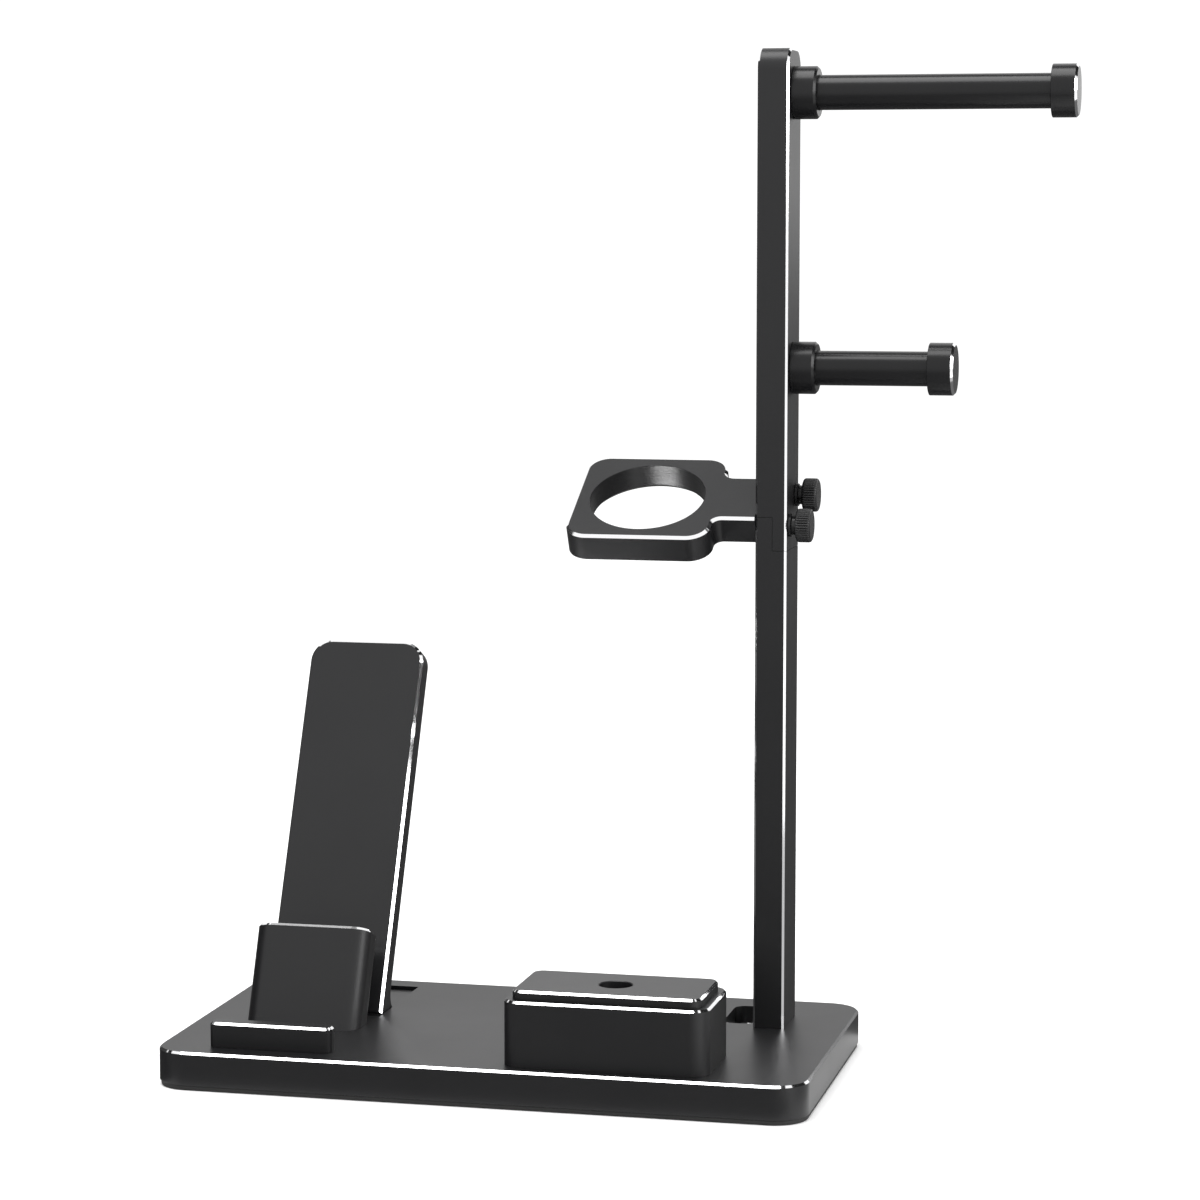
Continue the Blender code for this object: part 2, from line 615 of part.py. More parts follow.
def make_connector_block(plate):
    """The block in front of the backrest, which the phone stands on."""
    extra = 12 * MM
    length = CONNECTOR_HEIGHT / math.cos(CONNECTOR_TILT) + extra
    shape = rounded_block(CONNECTOR_WIDTH, CONNECTOR_THICKNESS, length, CONNECTOR_CORNER, CHAMFER)
    bmesh.ops.translate(shape, vec=(0, CONNECTOR_THICKNESS / 2, -extra), verts=shape.verts)
    lean = Matrix.Translation((PHONE_X, CONNECTOR_FRONT_Y, BASE_TOP_Z))
    lean = lean @ Matrix.Rotation(-CONNECTOR_TILT, 4, "X")
    bmesh.ops.transform(shape, matrix=lean, verts=shape.verts)
    block = add_object("connector_block", mesh_from("connector_block", shape), ANODISED)
    cut(block, box_cutter("below_connector_block", (PHONE_X - 2 * extra, -4 * extra, -2 * extra),
                          (PHONE_X + 2 * extra, 4 * extra, SEAT_Z)))
    middle_y = CONNECTOR_FRONT_Y + CONNECTOR_THICKNESS / math.cos(CONNECTOR_TILT) / 2
    fix_from_below(plate, block, "connector_screw",
                   spread_in_x(PHONE_X, middle_y, CONNECTOR_SCREW_SPACING),
                   (FIXING_RADIUS, FIXING_HEAD_RADIUS, FIXING_HEAD_HEIGHT), CONNECTOR_SCREW_REACH)


def make_stop_bar(plate):
    """The low bar along the front of the phone dock."""
    shape = rounded_block(STOP_WIDTH, STOP_DEPTH, STOP_HEIGHT - GAP, STOP_CORNER, CHAMFER)
    bar = add_object("front_stop_bar", mesh_from("front_stop_bar", shape), ANODISED)
    middle_y = STOP_FRONT_Y + STOP_DEPTH / 2
    bar.location = (PHONE_X, middle_y, SEAT_Z)
    fix_from_below(plate, bar, "stop_screw", spread_in_x(PHONE_X, middle_y, STOP_SCREW_SPACING),
                   (FIXING_RADIUS, FIXING_HEAD_RADIUS, FIXING_HEAD_HEIGHT), STOP_SCREW_REACH)


# ---------------------------------------------------------------- earbud dock

def make_earbud_dock(plate, bore):
    """The block and the slab that the earbud case stands on."""
    shape = rounded_block(DOCK_WIDTH, DOCK_DEPTH, DOCK_HEIGHT - GAP, DOCK_CORNER, CHAMFER)
    block = add_object("earbud_dock_block", mesh_from("earbud_dock_block", shape), ANODISED)
    block.location = (DOCK_X, DOCK_Y, SEAT_Z)
    shape = rounded_block(DOCK_WIDTH - 2 * SLAB_INSET, DOCK_DEPTH - 2 * SLAB_INSET,
                          SLAB_THICKNESS - GAP, SLAB_CORNER, CHAMFER)
    slab = add_object("earbud_dock_slab", mesh_from("earbud_dock_slab", shape), ANODISED)
    slab.location = (DOCK_X, DOCK_Y, BASE_TOP_Z + DOCK_HEIGHT + GAP)
    cut(block, bore)
    cut(slab, bore)
    fix_from_below(plate, block, "dock_screw", spread_in_x(DOCK_X, DOCK_Y, DOCK_SCREW_SPACING),
                   (FIXING_RADIUS, FIXING_HEAD_RADIUS, FIXING_HEAD_HEIGHT), DOCK_SCREW_REACH)


# ---------------------------------------------------------------- the whole stand

def main():
    """Build every piece."""
    plate, bore = make_base()
    lower_post, upper_post = make_post()
    half = POST_SCREW_SPACING / 2
    fix_from_below(plate, lower_post, "post_screw",
                   ((POST_X, POST_Y - half), (POST_X, POST_Y + half)),
                   (POST_SCREW_RADIUS, POST_SCREW_HEAD_RADIUS, POST_SCREW_HEAD_HEIGHT),
                   POST_SCREW_REACH)
    make_arm(lower_post, upper_post)
    make_peg("upper", UPPER_PEG_HEIGHT, UPPER_PEG_LENGTH, upper_post)
    make_peg("lower", LOWER_PEG_HEIGHT, LOWER_PEG_LENGTH, upper_post)
    make_backrest(plate)
    make_connector_block(plate)
    make_stop_bar(plate)
    make_earbud_dock(plate, bore)
    bpy.context.view_layer.update()


main()
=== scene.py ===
"""Looks of a black aluminium desk stand for headphones, a phone, an earbud case and a watch.

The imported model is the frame.  Each class below rebuilds one sub-assembly round it with round
corners, bright cut edges and fine surface finish.  Lengths are in metres, with X along the base
towards the pegs, Y to the back and Z up.
"""

from __future__ import annotations

import json
import logging
import math
from collections.abc import Callable, Sequence
from dataclasses import dataclass
from enum import Enum, IntEnum

import bmesh
import bpy
from mathutils import Matrix, Vector

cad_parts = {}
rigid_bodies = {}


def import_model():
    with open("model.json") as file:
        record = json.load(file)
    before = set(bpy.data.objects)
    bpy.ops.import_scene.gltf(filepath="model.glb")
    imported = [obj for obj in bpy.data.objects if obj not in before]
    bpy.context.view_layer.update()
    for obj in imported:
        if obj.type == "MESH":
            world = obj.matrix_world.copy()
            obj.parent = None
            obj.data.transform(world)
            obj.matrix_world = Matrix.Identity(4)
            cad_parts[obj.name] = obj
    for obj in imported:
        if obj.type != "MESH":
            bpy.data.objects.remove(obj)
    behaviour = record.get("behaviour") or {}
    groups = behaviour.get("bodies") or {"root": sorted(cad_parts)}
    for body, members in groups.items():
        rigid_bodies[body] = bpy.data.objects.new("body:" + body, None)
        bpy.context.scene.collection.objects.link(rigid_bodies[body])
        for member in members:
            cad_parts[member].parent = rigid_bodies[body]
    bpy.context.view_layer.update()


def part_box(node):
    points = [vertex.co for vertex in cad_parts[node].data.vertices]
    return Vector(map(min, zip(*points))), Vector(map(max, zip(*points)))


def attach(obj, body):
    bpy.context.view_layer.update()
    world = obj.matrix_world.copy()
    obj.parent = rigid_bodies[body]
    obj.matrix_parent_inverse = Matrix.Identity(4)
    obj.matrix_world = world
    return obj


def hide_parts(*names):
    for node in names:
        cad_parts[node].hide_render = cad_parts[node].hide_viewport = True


LOG = logging.getLogger("stand")
MM = 0.001
HAIRLINE = 0.04 * MM              # air that shows between two pieces that touch
SEAM = 0.1 * MM                   # a joint line between two lengths
CHAMFER = 0.7 * MM                # width of the bright cut along the leaning pieces' edges
FINE_CHAMFER = 0.55 * MM          # the same along the upright pieces' edges
BREAK = 0.15 * MM                 # softening of the edges that aren't cut bright
CORNER_STEPS = 14                 # faces round a quarter of a corner
ROUND_STEPS = 96                  # faces round a turned piece
BORE_STEPS = 160                  # faces round a bored hole
SMALL_STEPS = 64                  # faces round a screw's neck or a washer
RECESS_STEPS = 40                 # faces round the recess of a screw's head
SHARP_ANGLE = math.radians(32)    # edges sharper than this aren't shaded smooth
RIM_ANGLE = math.radians(60)      # edges sharper than this bound a plate's face
FACE_AREA_ONLY = 100              # lets big faces alone decide the shading of their edges
SOFTEN_ANGLE = math.radians(50)   # plain edges sharper than this are softened
NEARLY_ALONG = 0.999              # cosine above which an edge counts as along an axis
CLOSE = 0.01 * MM                 # how near a point counts as on a plane
SAME = 0.002 * MM                 # how near two coordinates count as the same
STAND = "stand"
CUT_FINISH = ("anodised", "bright_cut")
Colour = tuple[float, float, float]


class Tone(IntEnum):
    """Which of a piece's finishes a face takes."""

    BODY = 0
    BRIGHT = 1
    BORED = 2


class Slot(Enum):
    """The record's material slots."""

    ANODISED = "black_anodised"
    RUBBER = "rubber_pad"
    STEEL = "fixing_steel"
    THUMBSCREW = "thumbscrew"
    WASHER = "washer"


# ---------------------------------------------------------------- node trees


class Value:
    """A socket that takes part in Python arithmetic."""

    def __init__(self, wiring: Wiring, socket: bpy.types.NodeSocket) -> None:
        """Wrap an output socket of a tree."""
        self.wiring = wiring
        self.socket = socket

    def _join(self, operation: str, first: object, second: object) -> Value:
        """Add a Math node that joins two values."""
        made = self.wiring.node("ShaderNodeMath", {"operation": operation}, {0: first, 1: second})
        return Value(self.wiring, made.outputs[0])

    def math(self, operation: str, other: Value | float = 0.0) -> Value:
        """Result of an operation that has no operator here."""
        return self._join(operation, self, other)

    def __add__(self, other: Value | float) -> Value:
        """Sum."""
        return self._join("ADD", self, other)

    def __sub__(self, other: Value | float) -> Value:
        """Difference."""
        return self._join("SUBTRACT", self, other)

    def __mul__(self, other: Value | float) -> Value:
        """Product."""
        return self._join("MULTIPLY", self, other)

    def __rsub__(self, other: Value | float) -> Value:
        """Difference, with the number first."""
        return self._join("SUBTRACT", other, self)

    def __truediv__(self, other: Value | float) -> Value:
        """Quotient."""
        return self._join("DIVIDE", self, other)

    def __pow__(self, other: Value | float) -> Value:
        """Power."""
        return self._join("POWER", self, other)

    __radd__ = __add__
    __rmul__ = __mul__


class Wiring:
    """Adds nodes to a tree and feeds their sockets."""

    def __init__(self, tree: bpy.types.NodeTree) -> None:
        """Take a tree to work on."""
        self.tree = tree

    def node(self, kind: str, settings: dict | None = None,
             inputs: dict | None = None) -> bpy.types.Node:
        """Add a node.

        Args:
            kind: the node's type.
            settings: its properties, set first.
            inputs: socket names or numbers, with a number, a colour or a link for each.

        Returns:
            The new node.
        """
        made = self.tree.nodes.new(kind)
        for key, setting in (settings or {}).items():
            setattr(made, key, setting)
        self.feed(made, inputs or {})
        return made

    def feed(self, node: bpy.types.Node, inputs: dict) -> None:
        """Set or link a node's sockets."""
        for key, given in inputs.items():
            source = given.socket if isinstance(given, Value) else given
            if isinstance(source, bpy.types.NodeSocket):
                self.tree.links.new(source, node.inputs[key])
            else:
                node.inputs[key].default_value = source


class Shader(Wiring):
    """The node tree of one material, with a Principled shader at its end."""

    def __init__(self, name: str) -> None:
        """Start a material of a given name."""
        self.material = bpy.data.materials.new(name)
        self.material.use_nodes = True
        super().__init__(self.material.node_tree)
        self.surface = self.tree.nodes["Principled BSDF"]
        self.place = self.node("ShaderNodeTexCoord").outputs["Object"]

    def stretched(self, stretch: Sequence[float], tilt: float) -> bpy.types.NodeSocket:
        """Object coordinates, turned about X and then scaled.

        Args:
            stretch: the scale along each axis.
            tilt: the turn about X, in radians.

        Returns:
            The socket that gives the coordinates.
        """
        turned = self.node("ShaderNodeMapping", {}, {"Vector": self.place,
                                                     "Rotation": (-tilt, 0, 0)})
        return self.node("ShaderNodeMapping", {}, {"Vector": turned.outputs[0],
                                                   "Scale": stretch}).outputs[0]

    def noise(self, scale: float, detail: float = 2.0, stretch: Sequence[float] = (1, 1, 1),
              tilt: float = 0.0) -> Value:
        """Smooth noise from 0 to 1.

        Args:
            scale: how many waves there are in a metre.
            detail: how many finer octaves are added.
            stretch: further scale along each axis.
            tilt: turn of those axes about X, in radians.

        Returns:
            The noise.
        """
        made = self.node("ShaderNodeTexNoise", {}, {
            "Vector": self.stretched(stretch, tilt), "Scale": scale, "Detail": detail})
        return Value(self, made.outputs["Factor" if "Factor" in made.outputs else "Fac"])

    def blend(self, factor: Value, first: Sequence[float], second: Sequence[float]) -> Value:
        """A colour between two others.

        Args:
            factor: 0 for the first colour and 1 for the second.
            first: red, green and blue.
            second: red, green and blue.

        Returns:
            The mixed colour.
        """
        made = self.node("ShaderNodeMix", {"data_type": "RGBA"})
        self.feed(made, {0: factor, 6: (*first, 1), 7: (*second, 1)})
        return Value(self, made.outputs[2])

    def relief(self, height: Value, depth: float, strength: float) -> None:
        """Give the surface a bump.

        Args:
            height: the height, from 0 to 1.
            depth: what a height of 1 stands for, in metres.
            strength: how much of the bump shows.
        """
        made = self.node("ShaderNodeBump", {},
                         {"Height": height, "Distance": depth, "Strength": strength})
        self.feed(self.surface, {"Normal": made.outputs[0]})


@dataclass(frozen=True)
class Finish:
    """A surface finish, by name."""

    name: str

    def make(self) -> bpy.types.Material:
        """Build the finish's material."""
        shader = Shader(self.name)
        self.dress(shader)
        return shader.material

    def dress(self, shader: Shader) -> None:
        """Link the finish up."""
        raise NotImplementedError


@dataclass(frozen=True)
class Anodised(Finish):
    """Bead-blasted black anodised aluminium: satin, with a fine even grain."""

    name: str = "anodised"
    deep: Colour = (0.0058, 0.0058, 0.0066)
    pale: Colour = (0.0085, 0.0085, 0.0094)
    roughness: float = 0.36
    refraction: float = 1.42
    grain: float = 3200.0
    grain_depth: float = 0.012 * MM
    stretch: tuple[float, float, float] = (1, 1, 1)
    tilt: float = 0.0
    strength: float = 0.35
    clouds: float = 45.0
    handling: float = 11.0

    def dress(self, shader: Shader) -> None:
        """Link the finish up."""
        cloud = shader.noise(self.clouds, 3)
        grain = shader.noise(self.grain, 2, self.stretch, self.tilt)
        handled = shader.noise(self.handling, 4)
        shader.feed(shader.surface, {
            "Base Color": shader.blend(cloud, self.deep, self.pale),
            "Roughness": self.roughness + 0.05 * (cloud - 0.5) + 0.06 * (grain - 0.5)
            + 0.05 * (handled - 0.5),
            "Metallic": 0.0, "IOR": self.refraction})
        shader.relief(grain, self.grain_depth, self.strength)


@dataclass(frozen=True)
class BrightCut(Finish):
    """Bare aluminium left by a diamond tool: mirror bright, with faint tool lines."""

    name: str = "bright_cut"
    colour: Colour = (0.93, 0.93, 0.94)
    roughness: float = 0.05
    tool_lines: float = 900.0
    line_depth: float = 0.002 * MM
    dimming: float = 0.93

    def dress(self, shader: Shader) -> None:
        """Link the finish up."""
        lines = shader.noise(self.tool_lines, 3, (1, 1, 6))
        cloud = shader.noise(70, 2)
        dimmed = tuple(self.dimming * part for part in self.colour)
        shader.feed(shader.surface, {
            "Base Color": shader.blend(cloud, dimmed, self.colour),
            "Roughness": self.roughness + 0.03 * lines + 0.03 * cloud, "Metallic": 1.0})
        shader.relief(lines, self.line_depth, 0.2)


@dataclass(frozen=True)
class BlackSteel(Finish):
    """Blackened steel of the screws and washers."""

    name: str = "black_steel"
    deep: Colour = (0.006, 0.006, 0.0066)
    worn: Colour = (0.014, 0.014, 0.0146)
    roughness: float = 0.27
    refraction: float = 1.45
    grain: float = 2500.0
    grain_depth: float = 0.01 * MM

    def dress(self, shader: Shader) -> None:
        """Link the finish up."""
        cloud = shader.noise(260, 4)
        shader.feed(shader.surface, {
            "Base Color": shader.blend(cloud, self.deep, self.worn),
            "Roughness": self.roughness + 0.14 * (cloud - 0.5), "Metallic": 0.0,
            "IOR": self.refraction})
        shader.relief(shader.noise(self.grain, 2), self.grain_depth, 0.3)


@dataclass(frozen=True)
class Rubber(Finish):
    """Matt black rubber with a fine pebble."""

    name: str = "rubber"
    deep: Colour = (0.007, 0.007, 0.007)
    dusty: Colour = (0.02, 0.02, 0.0195)
    roughness: float = 0.72
    pebbles: float = 1500.0
    pebble_depth: float = 0.08 * MM

    def dress(self, shader: Shader) -> None:
        """Link the finish up."""
        cloud = shader.noise(90, 4)
        pebble = shader.noise(self.pebbles, 1)
        shader.feed(shader.surface, {
            "Base Color": shader.blend(cloud, self.deep, self.dusty),
            "Roughness": self.roughness + 0.16 * cloud, "IOR": 1.5})
        shader.relief(pebble, self.pebble_depth, 0.6)


@dataclass(frozen=True)
class PaleFloor(Finish):
    """The floor that the stand is shown on."""

    name: str = "pale_floor"
    low: Colour = (0.96, 0.96, 0.96)
    high: Colour = (0.98, 0.98, 0.98)

    def dress(self, shader: Shader) -> None:
        """Link the finish up."""
        shader.feed(shader.surface, {
            "Base Color": shader.blend(shader.noise(3, 2), self.low, self.high),
            "Roughness": 0.6, "Specular IOR Level": 0.0})


# ---------------------------------------------------------------- shapes


class Shape:
    """A closed mesh under construction, whose faces carry a tone."""

    def __init__(self, mesh: bmesh.types.BMesh) -> None:
        """Wrap a mesh."""
        self.mesh = mesh

    @classmethod
    def block(cls, size: Sequence[float], corner: float = 0.0, chamfer: float = 0.0) -> Shape:
        """A block from z = 0 up, centred in X and Y.

        Args:
            size: width, depth and height.
            corner: radius of the upright edges.
            chamfer: width of a bright cut round the top.

        Returns:
            The block.
        """
        mesh = bmesh.new()
        bmesh.ops.create_cube(mesh, size=1)
        bmesh.ops.scale(mesh, vec=size, verts=mesh.verts)
        bmesh.ops.translate(mesh, vec=(0, 0, size[2] / 2), verts=mesh.verts)
        made = cls(mesh)
        if corner:
            made.bevel(lambda edge: runs_along(edge, 2), corner, CORNER_STEPS)
        if chamfer:
            made.bevel(lambda edge: lies_at(edge, 2, size[2]), chamfer, tone=Tone.BRIGHT)
        return made

    @classmethod
    def plate(cls, corners: Sequence[tuple[float, float, float]], thickness: float) -> Shape:
        """A flat plate centred on z = 0.

        Args:
            corners: x, y and radius of each corner of its outline.
            thickness: its thickness.

        Returns:
            The plate.
        """
        mesh = bmesh.new()
        low = [mesh.verts.new((x, y, -thickness / 2)) for x, y in rounded_outline(corners)]
        high = [mesh.verts.new((vert.co.x, vert.co.y, thickness / 2)) for vert in low]
        mesh.faces.new(low[::-1])
        mesh.faces.new(high)
        for index, vert in enumerate(low):
            after = (index + 1) % len(low)
            mesh.faces.new((vert, low[after], high[after], high[index]))
        bmesh.ops.recalc_face_normals(mesh, faces=mesh.faces)
        return cls(mesh)

    @classmethod
    def turned(cls, profile: Sequence[tuple[float, float]], centre: tuple[float, float],
               bright: Sequence[int] = (), steps: int = ROUND_STEPS) -> Shape:
        """A shape turned round an axis along X.

        Args:
            profile: (x, radius) points; it closes on the axis or on its own start.
            centre: y and z of the axis.
            bright: numbers of the stretches that are cut bright.
            steps: how many faces go round.

        Returns:
            The turned shape.
        """
        mesh = bmesh.new()
        rings = []
        for x, radius in profile:
            if radius == 0:
                rings.append([mesh.verts.new((x, *centre))])
                continue
            ring = []
            for step in range(steps):
                angle = 2 * math.pi * step / steps
                ring.append(mesh.verts.new((x, centre[0] + radius * math.cos(angle),
                                            centre[1] + radius * math.sin(angle))))
            rings.append(ring)
        hollow = all(len(ring) > 1 for ring in rings)
        for index in range(len(rings) if hollow else len(rings) - 1):
            near, far = rings[index], rings[(index + 1) % len(rings)]
            for step in range(steps):
                here, after = step % len(near), (step + 1) % len(near)
                there, beyond = step % len(far), (step + 1) % len(far)
                loop = dict.fromkeys((near[here], near[after], far[beyond], far[there]))
                face = mesh.faces.new(tuple(loop))
                face.material_index = Tone.BRIGHT if index in bright else Tone.BODY
        bmesh.ops.recalc_face_normals(mesh, faces=mesh.faces)
        return cls(mesh)

    @classmethod
    def bore(cls, centre: tuple[float, float], heights: tuple[float, float], radius: float,
             rim: float, undercut: float = 0.0, tone: Tone = Tone.BODY) -> Shape:
        """A tool that cuts an upright hole and widens its ends.

        Args:
            centre: x and y of the hole's axis.
            heights: z of the faces that it goes through.
            radius: radius of the hole.
            rim: width of the cut round its upper end.
            undercut: width of the cut round its lower end.
            tone: the tone that it leaves.

        Returns:
            The tool.
        """
        low, high = heights
        profile = [(low - MM, 0), (low - MM, radius + undercut + (MM if undercut else 0)),
                   (low + undercut, radius), (high - rim, radius), (high + MM, radius + rim + MM),
                   (high + MM, 0)]
        made = cls.turned(profile, (0, 0), steps=BORE_STEPS)
        for face in made.mesh.faces:
            face.material_index = tone
        return made.moved(Matrix.Translation((*centre, 0)) @ Matrix.Rotation(-math.pi / 2, 4, "Y"))

    @classmethod
    def bar(cls, start: Vector, end: Vector, radius: float, steps: int = ROUND_STEPS) -> Shape:
        """A round bar.

        Args:
            start: the middle of one end.
            end: the middle of the other.
            radius: its radius.
            steps: how many faces go round.

        Returns:
            The bar.
        """
        along = end - start
        mesh = bmesh.new()
        bmesh.ops.create_cone(mesh, cap_ends=True, segments=steps, radius1=radius,
                              radius2=radius, depth=along.length)
        turn = Vector((0, 0, 1)).rotation_difference(along).to_matrix().to_4x4()
        return cls(mesh).moved(Matrix.Translation((start + end) / 2) @ turn)

    def bevel(self, test: Callable[[bmesh.types.BMEdge], bool], width: float, steps: int = 1,
              tone: Tone = Tone.BODY) -> Shape:
        """Bevel edges.

        Args:
            test: says whether an edge is bevelled.
            width: how far the bevel reaches into the faces beside the edge.
            steps: how many faces go across it.
            tone: the tone of the new faces.

        Returns:
            The shape itself.
        """
        edges = [edge for edge in self.mesh.edges if test(edge)]
        made = bmesh.ops.bevel(self.mesh, geom=edges, offset=width, offset_type="OFFSET",
                               segments=steps, profile=0.5, affect="EDGES", clamp_overlap=False)
        for face in made["faces"]:
            face.material_index = tone
        return self

    def soften(self, width: float = BREAK) -> Shape:
        """Take the sharpness off the edges between faces that aren't cut bright.

        Args:
            width: how far the softening reaches into the faces.

        Returns:
            The shape itself.
        """
        def is_sharp(edge: bmesh.types.BMEdge) -> bool:
            """Whether an edge is sharp and between two faces of the body's tone."""
            return (edge.calc_face_angle(0) > SOFTEN_ANGLE
                    and all(face.material_index == Tone.BODY for face in edge.link_faces))

        return self.bevel(is_sharp, width, 2)

    def moved(self, place: Matrix | Vector) -> Shape:
        """Move the shape by a vector, or move and turn it by a matrix."""
        matrix = Matrix.Translation(place) if isinstance(place, Vector) else place
        bmesh.ops.transform(self.mesh, matrix=matrix, verts=self.mesh.verts)
        return self

    def to_object(self, name: str) -> bpy.types.Object:
        """Put the shape in the scene and free the mesh under construction.

        Args:
            name: the new object's name.

        Returns:
            The object.
        """
        data = bpy.data.meshes.new(name)
        self.mesh.to_mesh(data)
        self.mesh.free()
        made = bpy.data.objects.new(name, data)
        bpy.context.scene.collection.objects.link(made)
        return made


def runs_along(edge: bmesh.types.BMEdge, axis: int) -> bool:
    """Whether an edge runs along an axis."""
    return abs((edge.verts[1].co - edge.verts[0].co).normalized()[axis]) > NEARLY_ALONG


def lies_at(edge: bmesh.types.BMEdge, axis: int, value: float) -> bool:
    """Whether an edge lies where one coordinate has a given value."""
    return all(abs(vert.co[axis] - value) < SAME for vert in edge.verts)


def is_rim(edge: bmesh.types.BMEdge, height: float) -> bool:
    """Whether an edge is on the rim of a plate's face at a height."""
    return lies_at(edge, 2, height) and edge.calc_face_angle(0) > RIM_ANGLE


def rounded_outline(corners: Sequence[tuple[float, float, float]]) -> list[Vector]:
    """Points of a closed outline.

    Args:
        corners: x, y and radius of each corner, bulging or hollow.

    Returns:
        The points, in order.
    """
    points = []
    for index, (x, y, radius) in enumerate(corners):
        here = Vector((x, y))
        before = (Vector(corners[index - 1][:2]) - here).normalized()
        after = (Vector(corners[(index + 1) % len(corners)][:2]) - here).normalized()
        if not radius:
            points.append(here)
            continue
        half = before.angle(after) / 2
        centre = here + (before + after).normalized() * radius / math.sin(half)
        first = here + before * radius / math.tan(half) - centre
        sweep = first.angle_signed(here + after * radius / math.tan(half) - centre)
        for step in range(CORNER_STEPS + 1):
            points.append(centre + Matrix.Rotation(-sweep * step / CORNER_STEPS, 2) @ first)
    return points


def box_between(low: Sequence[float], high: Sequence[float]) -> Shape:
    """A plain box.

    Args:
        low: its lowest corner.
        high: its highest corner.

    Returns:
        The box.
    """
    size = Vector(high) - Vector(low)
    middle = (Vector(high) + Vector(low)) / 2
    return Shape.block(size).moved(Vector((middle.x, middle.y, low[2])))


def cross_section(x: float) -> Matrix:
    """Turn a plate so that its X points up and its Z lies along X, with its middle at x."""
    return Matrix(((0, 0, 1, x), (0, 1, 0, 0), (1, 0, 0, 0), (0, 0, 0, 1)))


def empty_object(name: str) -> bpy.types.Object:
    """An object without a shape yet, in the scene."""
    made = bpy.data.objects.new(name, bpy.data.meshes.new(name))
    bpy.context.scene.collection.objects.link(made)
    return made


def centre_of(node: str) -> Vector:
    """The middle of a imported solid's box."""
    low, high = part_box(node)
    return (low + high) / 2


def block_over(node: str, base: float, corner: float) -> Shape:
    """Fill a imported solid's box with a block.

    Args:
        node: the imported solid.
        base: height of the block's underside.
        corner: radius of its upright edges.

    Returns:
        The block, with a bright cut round its top.
    """
    low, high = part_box(node)
    middle = (low + high) / 2
    shape = Shape.block((high.x - low.x, high.y - low.y, high.z - base), corner, FINE_CHAMFER)
    return shape.moved(Vector((middle.x, middle.y, base)))


class Bench:
    """Cuts and finishes shapes, and puts them on the frame."""

    def __init__(self, finishes: dict[str, bpy.types.Material]) -> None:
        """Keep the finishes by name."""
        self.finishes = finishes
        self.made = 0

    @staticmethod
    def apply(thing: bpy.types.Object) -> None:
        """Turn an object's modifiers into its mesh."""
        graph = bpy.context.evaluated_depsgraph_get()
        graph.update()
        mesh = bpy.data.meshes.new_from_object(thing.evaluated_get(graph))
        thing.modifiers.clear()
        thing.data = mesh

    def cut(self, thing: bpy.types.Object, tools: Sequence[Shape]) -> bpy.types.Object:
        """Take shapes out of a piece.

        Args:
            thing: the piece.
            tools: the shapes, which are used up.

        Returns:
            The piece.
        """
        cutters = [tool.to_object("cutter") for tool in tools]
        for cutter in cutters:
            modifier = thing.modifiers.new("cut", "BOOLEAN")
            modifier.operation = "DIFFERENCE"
            modifier.solver = "EXACT"
            modifier.material_mode = "INDEX"
            modifier.object = cutter
        for holder in (thing, *cutters):
            while len(holder.data.materials) < len(Tone):
                holder.data.materials.append(None)
        self.apply(thing)
        for cutter in cutters:
            bpy.data.objects.remove(cutter, do_unlink=True)
        return thing

    def deliver(self, thing: bpy.types.Object, finishes: Sequence[str], nodes: Sequence[str],
                slot: Slot, body: str = STAND) -> None:
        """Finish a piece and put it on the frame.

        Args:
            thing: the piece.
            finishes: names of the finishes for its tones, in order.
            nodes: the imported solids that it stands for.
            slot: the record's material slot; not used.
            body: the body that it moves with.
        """
        mesh = thing.data
        tones = [0] * len(mesh.polygons)
        mesh.polygons.foreach_get("material_index", tones)
        mesh.materials.clear()
        for name in finishes:
            mesh.materials.append(self.finishes[name])
        mesh.polygons.foreach_set("material_index", [min(t, len(finishes) - 1) for t in tones])
        mesh.shade_smooth()
        mesh.set_sharp_from_angle(angle=SHARP_ANGLE)
        weighted = thing.modifiers.new("normals", "WEIGHTED_NORMAL")
        weighted.keep_sharp = True
        weighted.weight = FACE_AREA_ONLY
        self.apply(thing)
        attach(thing, body)
        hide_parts(*nodes)
        self.made += 1
        LOG.info("%s rides on %s and stands for %s", thing.name, body, ", ".join(nodes))


# ---------------------------------------------------------------- base


